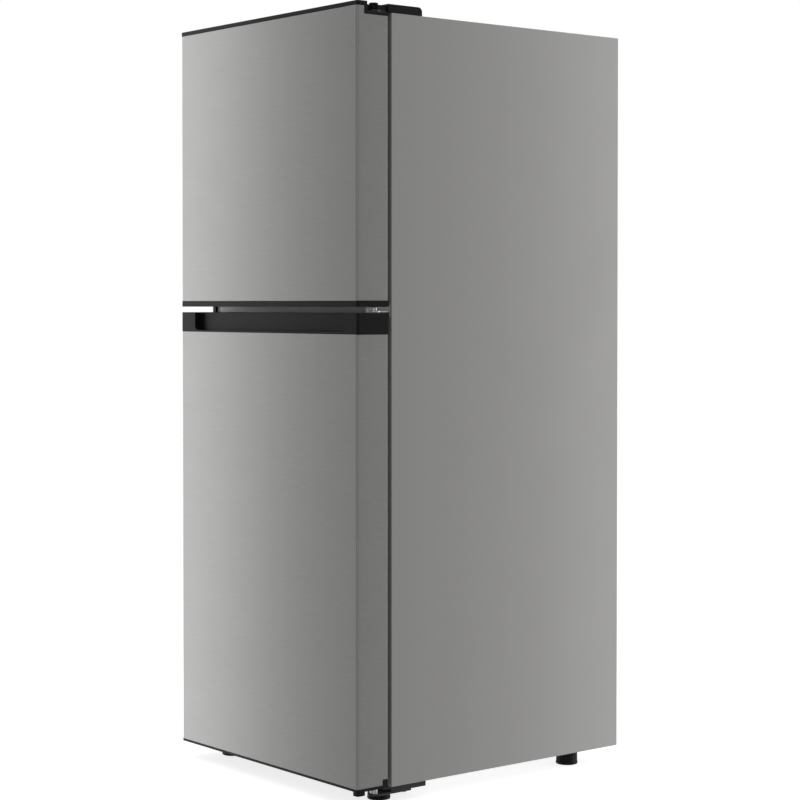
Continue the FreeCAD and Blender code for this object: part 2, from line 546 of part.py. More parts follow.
def fridge_door():
    low, high = "fridge_low + fridge_low_cap", "fridge_high - fridge_top_cap"
    tab = (("side - steel_return", "side"), ("y_door - tab_size", "y_door - liner"),
           (low, low + " + tab_size"))
    node(cut("fr_steel", skin("fr", low, high),
             box("fr_notch", (tab[0][0], "side + 1"), (tab[1][0], "y_door + 1"), tab[2])), "fridge_door_skin")

    solid = cap("fr_top", high, "fridge_high", high + " - grip_lip", high)
    across = ("0 - side + pocket_left", "side - pocket_right")
    mouth = soft_box("fr_mouth", across, ("y_front - 1", "y_front + pocket_deep"),
                     (high + " + pocket_rim", "fridge_high + 20"), "pocket_radius", "y")
    trough = soft_box("fr_trough", across,
                      ("y_front + pocket_deep + pocket_lip", "y_front + pocket_deep + pocket_hook"),
                      ("fridge_high - pocket_floor", "fridge_high + pocket_floor"), "6", "x")
    node(cut("fr_top_body", solid, mouth, trough,
             pin_hole("fr_top_hole", "fridge_high - pin_grip - 7", "fridge_high + 1")), "fridge_door_top_cap")

    solid = cap("fr_low", "fridge_low", low, low, low + " + cap_lip")
    stop = soft_box("fr_stop", ("pin_x - stop_reach", "side - stop_inset"),
                    ("y_front + stop_front", "y_front + stop_front + stop_deep"),
                    ("fridge_low - stop_drop", "fridge_low + 1"),
                    "corner_radius", "z")
    node(cut("fr_low_body", fuse("fr_low_solids", solid, box("fr_tab", *tab), stop),
             pin_hole("fr_low_hole", "fridge_low - 1", "fridge_low + 16")),
         "fridge_door_bottom_cap")

    fill = inner_panel("fridge_door", low, high, "fridge_side", "fridge_floor",
                       "min(fridge_roof; %s + dyke_play - 1)" % high,
                       "z_base + gasket_inset", "fridge_high - gasket_inset")
    block = plug("fr_foam_plug", "y_door - liner", low + " + cap_lip", high + " - grip_lip")
    node(fuse("fr_foam", block, fill), "fridge_door_foam")

    step = "(fridge_roof - fridge_floor)"
    low_bin = "fridge_floor + dyke_play + dyke_width + bin_lift"
    bins = [door_bin("fr_bin%d" % i, "fridge_side", "fridge_floor + %s * %s" % (step, part), "bin_high")
            for i, part in enumerate((0.48, 0.74))]
    node(group("fr_bins", *bins), "fridge_door_bins")
    node(door_bin("fr_bottle", "fridge_side", low_bin, "bottle_bin_high"), "bottle_bin")

    tray_low = "fridge_floor + %s * 0.74 + bin_wall" % step
    slab = soft_box("egg_slab", ("0 - egg_half", "egg_half"),
                    ("y_door + egg_front", "y_door + bin_depth - egg_back"),
                    (tray_low, tray_low + " + egg_high"), "8", "z")
    cups = [rod("egg_cup%d%d" % (i, j), ("egg_pitch * %.1f" % (i - 1.5), y, tray_low + " + egg_floor"),
                "egg_radius", "egg_high + 1")
            for i in range(4)
            for j, y in enumerate(spread(2, "y_door + egg_front + 19", "y_door + egg_front + 19 + egg_row"))]
    node(cut("egg_body", slab, *cups), "egg_tray")


# ---------------------------------------------------------------- inside

def freezer_inside():
    level = FREEZER_SHELF
    reach = "(freezer_side - play)"
    frame = box("fzs_frame", ("0 - " + reach, reach), ("shelf_y", "cover_y - 2"),
                (level, level + " + grid_high"))
    gaps = [box("fzs_gap%d" % i, (x, x + " + grid_slot"), ("shelf_y + grid_edge", "cover_y - grid_edge - 2"),
                (level + " - 1", level + " + grid_high + 1"))
            for i, x in enumerate(spread(14, "0 - freezer_side + grid_edge",
                                         "freezer_side - grid_edge - grid_slot"))]
    lip = box("fzs_lip", ("0 - " + reach, reach), ("shelf_y - 3", "shelf_y"),
              (level + " - grid_high", level + " + grid_high"))
    node(fuse("fzs_body", cut("fzs_grid", frame, *gaps), lip), "freezer_shelf")

    thick = ("cover_y", "cover_y + cover_sheet")
    wall = soft_box("evc_plate", ("0 - " + reach, reach), thick,
                    ("freezer_floor + play", "freezer_roof - play"), "room_radius", "y")
    vent = rod("evc_ring", ("0", "cover_y - 1", "fan_z"), "fan_radius + 3", "cover_sheet + 2", "y")
    bars = [box("evc_bar%d" % i, (x, x + " + 2"), thick,
                ("fan_z - fan_radius - 4", "fan_z + fan_radius + 4"))
            for i, x in enumerate(spread(8, "0 - fan_radius + 6", "fan_radius - 8"))]
    slots = [box("evc_slot%d" % i, (x, x + " + slot_long"), ("cover_y - 1", "cover_y + cover_sheet + 1"),
                 ("freezer_floor + 12", "freezer_floor + 20"))
             for i, x in enumerate(spread(9, "0 - freezer_side + slot_long", "freezer_side - 2 * slot_long"))]
    node(fuse("evc_body", cut("evc_open", wall, vent, *slots), *bars), "evaporator_cover")
    evaporator_coil()
    fan()
    ice_maker(level)


def evaporator_coil():
    coil = ("freezer_floor + freezer_space * 0.1", "freezer_floor + freezer_space * 0.46")
    coil_y = ("cover_y + 12", "freezer_back - 6")
    fins = [box("fin%d" % i, (x, x + " + fin_sheet"), coil_y, coil)
            for i, x in enumerate(spread(30, "0 - freezer_side + 30", "freezer_side - 30"))]
    rows = [rod("coil_row%d%d" % (i, j), ("0 - freezer_side + 20", y, z), "coil_radius",
                "2 * (freezer_side) - 40", "x")
            for i, z in enumerate(spread(5, coil[0] + " + 2 * coil_radius", coil[1] + " - 2 * coil_radius"))
            for j, y in enumerate(("cover_y + 22", "freezer_back - 16"))]
    node(fuse("coil_body", *fins, *rows), "evaporator")
    node(rod("heater_rod", ("0 - freezer_side + 24", "(cover_y + freezer_back) / 2",
                            coil[0] + " - 2 * coil_radius - 1"), "coil_radius",
             "2 * (freezer_side) - 48", "x"), "defrost_heater")


def fan():
    drum = rod("motor_drum", ("0", "freezer_back - 26", "fan_z"), "motor_radius", "24", "y")
    arm = box("motor_arm", ("0 - fan_radius - 8", "fan_radius + 8"), ("freezer_back - 4", "freezer_back"),
              ("fan_z - 6", "fan_z + 6"))
    shaft = rod("motor_shaft", ("0", "freezer_back - 44", "fan_z"), "shaft_radius", "20", "y")
    node(fuse("motor_body", drum, arm, shaft), "fan_motor")

    hub = rod("fan_hub", ("0", "freezer_back - 42", "fan_z"), "hub_radius", "blade_width", "y")
    blades = []
    for index in range(5):
        turn = FreeCAD.Rotation(AXES["y"], 72 * index) * FreeCAD.Rotation(AXES["x"], 55)
        blade = doc.addObject("Part::Box", "fan_blade%d" % index)
        bind(blade, Length="fan_radius - hub_radius + 1", Width="blade_width", Height="blade_sheet")
        centre = turn.multVec(FreeCAD.Vector(number("hub_radius - 2"), number("0 - blade_width / 2"),
                                             number("0 - blade_sheet / 2")))
        move(blade, "0 + %.4f" % centre.x, "freezer_back - 35 + %.4f" % centre.y,
             "fan_z + %.4f" % centre.z, turn)
        blades.append(blade)
    bore = rod("fan_bore", ("0", "freezer_back - 43", "fan_z"), "shaft_radius + pin_clear",
               "blade_width + 2", "y")
    node(cut("fan_body", fuse("fan_solid", hub, *blades), bore), "fan_impeller")


def ice_maker(level):
    """A twist tray in its cradle, over a bin that slides on the shelf."""
    deep = ("tray_y - cradle_half", "tray_y + cradle_half")
    bars = [box("ice_bar%d" % i, (x, x + " + cradle_bar"), deep,
                ("tray_z - cradle_drop", "tray_z + cradle_rise"))
            for i, x in enumerate(("tray_left", "tray_right"))]
    top = box("ice_top", ("tray_left", "tray_right + cradle_bar"), deep,
              ("tray_z + cradle_rise - cradle_bar", "tray_z + cradle_rise"))
    bores = rod("ice_bore", ("tray_left - 1", "tray_y", "tray_z"), "pin_radius + pin_clear",
                "tray_length + 10", "x")
    hanger = box("ice_hanger", ("tray_left + 20", "tray_right - 20"),
                 ("tray_y - cradle_half + 6", "tray_y + cradle_half - 6"),
                 ("tray_z + cradle_rise", "freezer_roof"))
    node(cut("ice_frame_body", fuse("ice_frame_solid", *bars, top, hanger), bores), "ice_tray_frame")

    tub = box("ice_tub", ("tray_left + 5", "tray_right - 2"), ("tray_y - tub_half", "tray_y + tub_half"),
              ("tray_z - tub_high", "tray_z + tub_high"))
    cells = [box("ice_cell%d%d" % (i, j), (x, x + " + 20"), (y, y + " + tub_half - 7"),
                 ("tray_z - tub_high + 3", "tray_z + tub_high + 1"))
             for i, x in enumerate(spread(6, "tray_left + 9", "tray_right - 26"))
             for j, y in enumerate(("tray_y - tub_half + 4", "tray_y + 3"))]
    trunnion = rod("ice_trunnion", ("tray_left + 0.3", "tray_y", "tray_z"), "pin_radius", "10", "x")
    axle = rod("ice_axle", ("tray_right - 4", "tray_y", "tray_z"), "pin_radius", "14", "x")
    lever = box("ice_lever", ("tray_right + 4", "tray_right + 9"), ("tray_y - 7", "tray_y + 7"),
                ("tray_z - 26", "tray_z + 6"))
    node(fuse("ice_tray_body", cut("ice_cells", tub, *cells), trunnion, axle, lever), "ice_tray")

    node(open_tray("ice_box", ("tray_left", "tray_right"), ("shelf_y + 4", "cover_y - 8"),
                   (level + " + grid_high + bin_ride", "tray_z - bin_below"), "drawer_wall", "bin_radius"),
         "ice_bin")


def fridge_inside():
    glass_shelves()
    crisper()
    air_duct()
    temperature_control()


def glass_shelves():
    reach = "(fridge_side - play)"
    glasses, trims = [], []
    for index, level in enumerate(FRIDGE_SHELVES):
        top = level + " + shelf_glass"
        glasses.append(box("glass%d" % index, ("0 - " + reach, reach),
                           ("shelf_y + trim", "fridge_back - duct_depth - 12"), (level, top)))
        bar = box("trim_bar%d" % index, ("0 - " + reach, reach), ("shelf_y", "shelf_y + trim + trim_lap"),
                  (level + " - 3", top + " + trim_lap"))
        groove = box("trim_groove%d" % index, ("0 - side", "side"), ("shelf_y + trim", "shelf_y + trim_end"),
                     (level, top))
        ends = [box("trim_end%d%s" % (index, hand), span, ("shelf_y + ledge_set - 0.5", "shelf_y + trim_end"),
                    (level + " - 4", level))
                for hand, span in (("l", ("0 - side", "0 - fridge_side + ledge + 0.5")),
                                   ("r", ("fridge_side - ledge - 0.5", "side")))]
        trims.append(cut("trim%d" % index, bar, groove, *ends))
    node(group("glass_shelves", *glasses), "fridge_shelf_glass")
    node(group("shelf_trims", *trims), "fridge_shelf_trims")


def crisper():
    reach = "(fridge_side - play)"
    node(box("crisper_lid", ("0 - " + reach, reach), ("shelf_y", "hump_front - 2"),
             ("crisper_top", "crisper_top + shelf_glass")), "crisper_cover")
    reach = "(fridge_side - ledge - play)"
    tub = open_tray("crisper_tub", ("0 - " + reach, reach), ("shelf_y + 4", "hump_front - 5"),
                    ("fridge_floor + play", "crisper_top - 9"), "drawer_wall", "drawer_radius")
    face = soft_box("crisper_face", ("0 - " + reach, reach), ("shelf_y - 2", "shelf_y + 5"),
                    ("fridge_floor + play", "crisper_top - 8"), "4", "y")
    grip = soft_box("crisper_grip", ("0 - 80", "80"), ("shelf_y - 12", "shelf_y - 1"),
                    ("crisper_top - 34", "crisper_top - 26"), "3", "x")
    node(fuse("crisper_body", tub, face, grip), "crisper_drawer")


def air_duct():
    high = "fridge_roof - control_high - 8"
    body = soft_box("duct_block", ("0 - duct_half", "duct_half"), ("fridge_back - duct_depth", "fridge_back"),
                    ("hump_high + 14", high), "8", "z")
    rows = spread(4, "hump_high + fridge_space * 0.16", "hump_high + fridge_space * 0.82")
    vents = [box("duct_vent%d%s" % (i, hand), (x, x + " + 36"),
                 ("fridge_back - duct_depth - 1", "fridge_back - duct_depth + duct_wall + 1"),
                 (z, z + " + 6"))
             for i, z in enumerate(rows) for hand, x in (("l", "0 - 46"), ("r", "10"))]
    room = box("duct_room", ("0 - duct_half + duct_wall", "duct_half - duct_wall"),
               ("fridge_back - duct_depth + duct_wall", "fridge_back + 1"), ("hump_high + 18", high + " - 4"))
    node(cut("duct_body", body, room, *vents), "fridge_air_duct")


def temperature_control():
    low = "fridge_roof - control_high"
    shell = soft_box("control_block", ("0 - control_half", "control_half"),
                     ("shelf_y - 2", "shelf_y - 2 + control_deep"), (low, "fridge_roof"), "5", "z")
    lamp = box("control_window", ("0 - lamp_long", "0"), ("shelf_y + 14", "shelf_y + 14 + lamp_long"),
               (low + " - 1", low + " + 12"))
    bore = rod("control_bore", ("knob_x", "shelf_y - 3", "knob_z"), "stem_radius + pin_clear", "16", "y")
    node(cut("control_body", shell, lamp, bore), "control_housing")
    node(box("lamp_block", ("lamp_play - lamp_long", "0 - lamp_play"),
             ("shelf_y + 14 + lamp_play", "shelf_y + 14 + lamp_long - lamp_play"), (low, low + " + 3")),
         "lamp_lens")

    face = "shelf_y - 2.4 - knob_high"
    dial = fillet("knob_round", rod("knob_dial", ("knob_x", face, "knob_z"), "knob_radius", "knob_high", "y"),
                  "1.5", None, lambda edge: edge.Closed and edge.BoundBox.YMax < number(face + " + 1"))
    ridge = box("knob_ridge", ("knob_x - 2.5", "knob_x + 2.5"), (face + " - 3", face + " + 1"),
                ("knob_z - knob_radius + 3", "knob_z + knob_radius - 2"))
    stem = rod("knob_stem", ("knob_x", "shelf_y - 3", "knob_z"), "stem_radius", "14", "y")
    node(fuse("knob_body", dial, ridge, stem), "temperature_knob")


# ---------------------------------------------------------------- machinery bay

def machinery():
    inside = ("0 - side + sheet + 0.5", "side - sheet - 0.5")
    tray = box("base_plate", inside, ("bay_front + 1", "y_back - 4"), ("z_base", "z_base + plate"))
    turn = box("base_turn", inside, ("bay_front + 1", "bay_front + 1 + plate"), ("z_base", "z_base + 14"))
    node(fuse("base_body", tray, turn), "compressor_base_plate")
    compressor()
    copper_tubes()
    rear_cover()


def compressor():
    corners = [("can_x %s grommet_spread" % x, "can_y %s grommet_spread" % y) for x in "-+" for y in "-+"]
    node(group("grommets", *[rod("grommet%d" % i, (x, y, "z_base + plate"), "grommet_radius", "grommet_high")
                             for i, (x, y) in enumerate(corners)]), "compressor_grommets")
    can = fillet("can_round", rod("can_block", ("can_x", "can_y", "can_low + 2"), "can_radius", "can_high"),
                 "can_radius * 0.45", None, lambda edge: edge.Closed)
    saddle = soft_box("can_saddle", ("can_x - saddle_half", "can_x + saddle_half"),
                      ("can_y - saddle_half", "can_y + saddle_half"), ("can_low", "can_low + 3"), "10", "z")
    neck = rod("can_neck", ("can_x", "can_y", "can_low"), "can_radius * 0.7", "can_high / 2")
    node(fuse("can_body", can, saddle, neck), "compressor")
    relay_x = "can_x + can_radius + 1"
    node(soft_box("relay", (relay_x, relay_x + " + 30"), ("can_y - 24", "can_y + 24"),
                  ("can_low + 36", "can_low + 92"), "4", "x"), "compressor_relay_box")
    node(open_tray("drip", ("can_x - tray_half", "can_x + tray_half"), ("bay_front + 8", "y_back - 12"),
                   ("can_low + can_high + 6", "bay_high - 6"), "tray_wall", "10"), "drip_tray")


def copper_tubes():
    drier_x = "can_x - can_radius - 62"
    drier_low = "can_low + 20"
    node(rod("drier", (drier_x, "can_y", drier_low), "drier_radius", "drier_high"), "filter_drier")
    middle, bottom = "can_low + can_high * 0.55", "can_low + 8"
    drop = "can_x - can_radius - 26"
    discharge = [("can_x - can_radius + 1", "can_y", middle), (drop, "can_y", middle),
                 (drop, "can_y", bottom), (drier_x, "can_y", bottom),
                 (drier_x, "can_y", drier_low + " + 2")]
    shoulder, behind, rise = "can_x - can_radius * 0.5", "can_y + can_radius * 0.5", "can_x - can_radius - 34"
    crown = "can_low + can_high + 2"
    suction = [(shoulder, behind, "can_low + can_high * 0.9"), (shoulder, behind, crown),
               (rise, behind, crown), (rise, behind, "bay_high")]
    capillary = [(drier_x, "can_y", drier_low + " + drier_high - 2"), (drier_x, "can_y", "bay_high")]
    node(group("pipes", pipe("discharge", discharge, "tube_radius"), pipe("suction", suction, "tube_radius"),
               pipe("capillary", capillary, "capillary_radius")), "refrigerant_pipes")


def rear_cover():
    panel = box("rear_sheet", ("0 - side + sheet + 1", "side - sheet - 1"), ("y_back - 3.5", "y_back - 2.5"),
                ("z_base + plate + 1", "bay_high - 1"))
    through = ("y_back - 5", "y_back - 1")
    slots = [box("rear_slot%d%d" % (i, j), (x, x + " + 40"), through, (z, z + " + 5"))
             for i, x in enumerate(spread(5, "0 - side + 90", "side - 130"))
             for j, z in enumerate(spread(7, "z_base + 40", "bay_high - 40"))]
    inlet = box("rear_inlet", ("inlet_x - 13", "inlet_x + 13"), through, ("inlet_z - 11", "inlet_z + 11"))
    node(cut("rear_body", panel, *slots, inlet), "rear_access_cover")
    heads = [rod("rear_screw%d%d" % (i, j), (x, "y_back - 2.5", z), "bolt_radius", "2", "y")
             for i, x in enumerate(("0 - side + 14", "0", "side - 14"))
             for j, z in enumerate(("z_base + 16", "bay_high - 14"))]
    node(group("rear_screws", *heads), "access_cover_screws")
    body = box("inlet_block", ("inlet_x - 19", "inlet_x + 19"), ("y_back - 40", "y_back - 3.5"),
               ("inlet_z - 17", "inlet_z + 17"))
    gland = rod("inlet_gland", ("inlet_x", "y_back - 4", "inlet_z"), "8", "3.8", "y")
    hole = rod("inlet_hole", ("inlet_x", "y_back - 24", "inlet_z"), "4.5", "30", "y")
    node(cut("inlet_body", fuse("inlet_solid", body, gland), hole), "power_inlet_box")


def export():
    doc.recompute()
    os.makedirs("parts", exist_ok=True)
    faults = [item.Name for item in doc.Objects if "Invalid" in item.State or "Error" in item.State]
    faults += [item.Label for item in NODES if item.Shape.isNull() or not item.Shape.isValid()]
    if faults:
        raise RuntimeError("faulty objects: " + ", ".join(faults))
    for item in NODES:
        item.Shape.exportStep("parts/%s.step" % item.Label)


cabinet_shell()
liners()
front_rails()
feet()
hinges()
freezer_door()
fridge_door()
freezer_inside()
fridge_inside()
machinery()
export()
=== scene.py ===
import json
import math

import bmesh
import bpy
from bpy.props import FloatProperty, FloatVectorProperty, IntProperty, PointerProperty
from mathutils import Matrix, Vector

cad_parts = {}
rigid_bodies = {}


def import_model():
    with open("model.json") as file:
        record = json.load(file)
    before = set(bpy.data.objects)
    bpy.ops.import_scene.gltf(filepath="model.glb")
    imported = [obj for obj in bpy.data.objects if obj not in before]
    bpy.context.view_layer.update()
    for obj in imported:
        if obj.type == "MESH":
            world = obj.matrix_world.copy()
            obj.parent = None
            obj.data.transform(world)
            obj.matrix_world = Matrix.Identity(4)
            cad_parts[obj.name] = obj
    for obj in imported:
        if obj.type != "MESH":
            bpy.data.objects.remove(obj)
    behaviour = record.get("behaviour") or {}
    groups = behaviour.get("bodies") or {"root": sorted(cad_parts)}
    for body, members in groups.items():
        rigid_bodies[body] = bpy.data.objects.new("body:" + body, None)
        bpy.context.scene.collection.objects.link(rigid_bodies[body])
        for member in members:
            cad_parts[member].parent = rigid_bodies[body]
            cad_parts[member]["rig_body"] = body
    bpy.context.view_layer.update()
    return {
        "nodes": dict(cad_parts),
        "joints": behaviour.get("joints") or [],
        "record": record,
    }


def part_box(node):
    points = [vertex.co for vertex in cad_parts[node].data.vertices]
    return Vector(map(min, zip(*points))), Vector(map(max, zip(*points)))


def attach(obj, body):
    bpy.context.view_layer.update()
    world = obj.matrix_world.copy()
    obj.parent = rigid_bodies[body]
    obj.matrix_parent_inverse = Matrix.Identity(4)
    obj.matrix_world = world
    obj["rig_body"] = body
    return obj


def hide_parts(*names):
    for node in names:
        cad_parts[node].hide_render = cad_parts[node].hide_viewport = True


bl_info = {
    "name": "Top Freezer Refrigerator",
    "version": (1, 0, 0),
    "blender": (4, 5, 0),
    "location": "View3D > Sidebar > Refrigerator",
    "description": "Finishes a two-door refrigerator: doors, end caps, gaskets, shelves, machinery and stage",
    "category": "Add Mesh",
}

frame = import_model()


# ---------------------------------------------------------------- settings

class FinishSettings(bpy.types.PropertyGroup):
    """Colours and surface sizes of the refrigerator's finishes."""
    steel_colour: FloatVectorProperty(name="Door steel", description="Colour of the brushed door skins",
                                      default=(0.362, 0.360, 0.356), subtype="COLOR", min=0.0, max=1.0)
    case_colour: FloatVectorProperty(name="Cabinet paint", description="Colour of the satin cabinet sides",
                                     default=(0.37, 0.366, 0.357), subtype="COLOR", min=0.0, max=1.0)
    liner_colour: FloatVectorProperty(name="Liner", description="Colour of the vacuum-formed inner walls",
                                      default=(0.80, 0.83, 0.85), subtype="COLOR", min=0.0, max=1.0)
    cap_colour: FloatVectorProperty(name="Black plastic", description="Colour of the door end caps and feet",
                                    default=(0.009, 0.009, 0.0094), subtype="COLOR", min=0.0, max=1.0)
    seal_colour: FloatVectorProperty(name="Gasket", description="Colour of the door gaskets",
                                     default=(0.028, 0.028, 0.029), subtype="COLOR", min=0.0, max=1.0)
    edge_radius: FloatProperty(name="Edge radius", description="Rounding of moulded plastic edges",
                               default=0.0007, min=0.0001, max=0.003, subtype="DISTANCE", unit="LENGTH")
    sheet_radius: FloatProperty(name="Sheet edge radius", description="Rounding of folded sheet edges",
                                default=0.00035, min=0.0001, max=0.002, subtype="DISTANCE", unit="LENGTH")


class DetailSettings(bpy.types.PropertyGroup):
    """Sizes of the small parts that are built here."""
    seal_ribs: IntProperty(name="Gasket folds", description="Folds across the face of each gasket",
                           default=3, min=1, max=6)
    foot_ribs: IntProperty(name="Foot ribs", description="Grip ribs around each foot",
                           default=24, min=8, max=60)
    panel_ribs: IntProperty(name="Back ribs", description="Stiffening beads pressed in the back panel",
                            default=6, min=2, max=12)
    bead_height: FloatProperty(name="Bead height", description="Height of the pressed beads",
                               default=0.0006, min=0.0002, max=0.002, subtype="DISTANCE", unit="LENGTH")


class StageSettings(bpy.types.PropertyGroup):
    """Camera and studio light."""
    camera_place: FloatVectorProperty(name="Camera", description="Where the camera stands",
                                      default=(3.0205, -2.422, 0.856), subtype="TRANSLATION", unit="LENGTH")
    camera_turn: FloatProperty(name="Turn", description="Heading of the camera about the vertical",
                               default=math.radians(51.231), subtype="ANGLE", unit="ROTATION")
    camera_dip: FloatProperty(name="Dip", description="How far the camera looks down",
                              default=math.radians(1.14), subtype="ANGLE", unit="ROTATION")
    camera_shift: FloatProperty(name="Shift", description="Vertical lens shift", default=-0.0686)
    focal: FloatProperty(name="Focal length", description="Lens in millimetres on a 36 mm sensor",
                         default=92.76, min=20.0, max=200.0)
    front_power: FloatProperty(name="Front strip", description="Power of the strip light before the doors",
                               default=13.5, min=0.0, max=200.0)
    rear_power: FloatProperty(name="Rear strip", description="Power of the strip light behind the hinges",
                              default=20.0, min=0.0, max=200.0)
    edge_power: FloatProperty(name="Edge strip", description="Power of the strip that picks out the corners",
                              default=7.0, min=0.0, max=200.0)


# ---------------------------------------------------------------- node helpers

class Web:
    """Adds linked nodes to a material or a node group."""

    def __init__(self, tree):
        self.tree = tree

    def add(self, kind, settings=None, **inputs):
        made = self.tree.nodes.new(kind)
        for key, value in (settings or {}).items():
            setattr(made, key, value)
        for key, value in inputs.items():
            self.put(made, key.replace("_", " "), value)
        return made

    def put(self, made, key, value):
        socket = made.inputs[int(key[1:])] if key[0] == "#" else made.inputs[key]
        if isinstance(value, bpy.types.NodeSocket):
            self.tree.links.new(value, socket)
        else:
            socket.default_value = value

    def maths(self, operation, first, second=0.0):
        made = self.add("ShaderNodeMath", {"operation": operation})
        self.put(made, "#0", first)
        self.put(made, "#1", second)
        return made.outputs[0]

    def blend(self, amount, first, second):
        made = self.add("ShaderNodeMix", {"data_type": "RGBA"})
        for key, value in (("#0", amount), ("#6", first), ("#7", second)):
            self.put(made, key, value)
        return made.outputs[2]

    def spread(self, value, low, high):
        made = self.add("ShaderNodeMapRange")
        for key, item in (("#0", value), ("#3", low), ("#4", high)):
            self.put(made, key, item)
        return made.outputs[0]

    def scaled_place(self, scale):
        place = self.add("ShaderNodeTexCoord").outputs["Object"]
        made = self.add("ShaderNodeVectorMath", {"operation": "MULTIPLY"})
        self.put(made, "#0", place)
        self.put(made, "#1", scale)
        return made.outputs[0]

    def noise(self, place, scale, detail=3.0, roughness=0.6):
        made = self.add("ShaderNodeTexNoise", Scale=scale, Detail=detail, Roughness=roughness)
        self.put(made, "Vector", place)
        return made.outputs["Fac"]


def new_group(name, inputs, outputs):
    """An empty shader group with named sockets."""
    group = bpy.data.node_groups.new(name, "ShaderNodeTree")
    for label, kind, value in inputs:
        socket = group.interface.new_socket(name=label, in_out="INPUT", socket_type=kind)
        socket.default_value = value
    for label, kind in outputs:
        group.interface.new_socket(name=label, in_out="OUTPUT", socket_type=kind)
    web = Web(group)
    return group, web, web.add("NodeGroupInput").outputs, web.add("NodeGroupOutput")


FLOAT, COLOUR, VECTOR = "NodeSocketFloat", "NodeSocketColor", "NodeSocketVector"


def brushed_grain_group():
    """Fine streaks that run level around the doors, with soft clouding between them."""
    group, web, given, result = new_group(
        "Brushed grain", [("Depth", FLOAT, 0.1)],
        [("Streaks", FLOAT), ("Cloud", FLOAT), ("Normal", VECTOR)])
    fine = web.noise(web.scaled_place((26.0, 26.0, 1500.0)), 1.0, 2.0, 0.7)
    broad = web.noise(web.scaled_place((40.0, 40.0, 420.0)), 1.0, 3.0, 0.65)
    streaks = web.maths("ADD", web.maths("MULTIPLY", fine, 0.55), web.maths("MULTIPLY", broad, 0.45))
    cloud = web.noise(web.scaled_place((3.0, 3.0, 9.0)), 1.0, 3.0, 0.6)
    bump = web.add("ShaderNodeBump", Distance=0.0002)
    web.put(bump, "Strength", given["Depth"])
    web.put(bump, "Height", streaks)
    web.put(result, "Streaks", streaks)
    web.put(result, "Cloud", cloud)
    web.put(result, "Normal", bump.outputs[0])
    return group


def moulded_grain_group():
    """The fine spark-eroded grain of injection-moulded plastic, or the peel of sprayed paint."""
    group, web, given, result = new_group(
        "Moulded grain", [("Pitch", FLOAT, 2500.0), ("Depth", FLOAT, 0.1)],
        [("Speckle", FLOAT), ("Cloud", FLOAT), ("Normal", VECTOR)])
    place = web.scaled_place((1.0, 1.0, 1.0))
    speckle = web.add("ShaderNodeTexNoise", Detail=2.0, Roughness=0.55)
    web.put(speckle, "Vector", place)
    web.put(speckle, "Scale", given["Pitch"])
    bump = web.add("ShaderNodeBump", Distance=0.0002)
    web.put(bump, "Strength", given["Depth"])
    web.put(bump, "Height", speckle.outputs["Fac"])
    web.put(result, "Speckle", speckle.outputs["Fac"])
    web.put(result, "Cloud", web.noise(place, 7.0, 4.0, 0.6))
    web.put(result, "Normal", bump.outputs[0])
    return group


def handling_group():
    """Faint wiped smears and settled dust on level faces."""
    group, web, given, result = new_group(
        "Handling", [("Smears", FLOAT, 1.0), ("Dust", FLOAT, 1.0)],
        [("Smear mask", FLOAT), ("Dust mask", FLOAT)])
    smear = web.noise(web.scaled_place((5.0, 5.0, 12.0)), 1.6, 4.0, 0.7)
    smear = web.spread(smear, 0.0, 1.0)
    facing = web.add("ShaderNodeSeparateXYZ")
    web.put(facing, "#0", web.add("ShaderNodeNewGeometry").outputs["Normal"])
    up = web.maths("MAXIMUM", facing.outputs[2], 0.0)
    grit = web.noise(web.scaled_place((1.0, 1.0, 1.0)), 240.0, 5.0, 0.75)
    dust = web.maths("MULTIPLY", web.maths("POWER", up, 3.0), grit)
    web.put(result, "Smear mask", web.maths("MULTIPLY", smear, given["Smears"]))
    web.put(result, "Dust mask", web.maths("MULTIPLY", dust, given["Dust"]))
    return group


def edge_wear_group():
    """Lighter rubbed edges, from the surface's own curvature."""
    group, web, given, result = new_group("Edge rub", [("Amount", FLOAT, 0.3)], [("Edge mask", FLOAT)])
    point = web.add("ShaderNodeNewGeometry").outputs["Pointiness"]
    edge = web.add("ShaderNodeMapRange")
    for key, value in (("#0", point), ("#1", 0.53), ("#2", 0.62)):
        web.put(edge, key, value)
    broken = web.noise(web.scaled_place((1.0, 1.0, 1.0)), 90.0, 4.0, 0.7)
    mask = web.maths("MULTIPLY", web.maths("MULTIPLY", edge.outputs[0], broken), given["Amount"])
    web.put(result, "Edge mask", mask)
    return group


GROUPS = {}


def group_node(web, name, **inputs):
    builders = {"Brushed grain": brushed_grain_group, "Moulded grain": moulded_grain_group,
                "Handling": handling_group, "Edge rub": edge_wear_group}
    if name not in GROUPS:
        GROUPS[name] = builders[name]()
    made = web.add("ShaderNodeGroup", {"node_tree": GROUPS[name]})
    for key, value in inputs.items():
        web.put(made, key, value)
    return made.outputs


# ---------------------------------------------------------------- finishes

FINISHES = {}


def start_finish(name):
    material = bpy.data.materials.new(name)
    material.use_nodes = True
    web = Web(material.node_tree)
    return material, web, material.node_tree.nodes["Principled BSDF"]


def toned(colour, factor):
    return tuple(min(1.0, part * factor) for part in colour[:3]) + (1.0,)


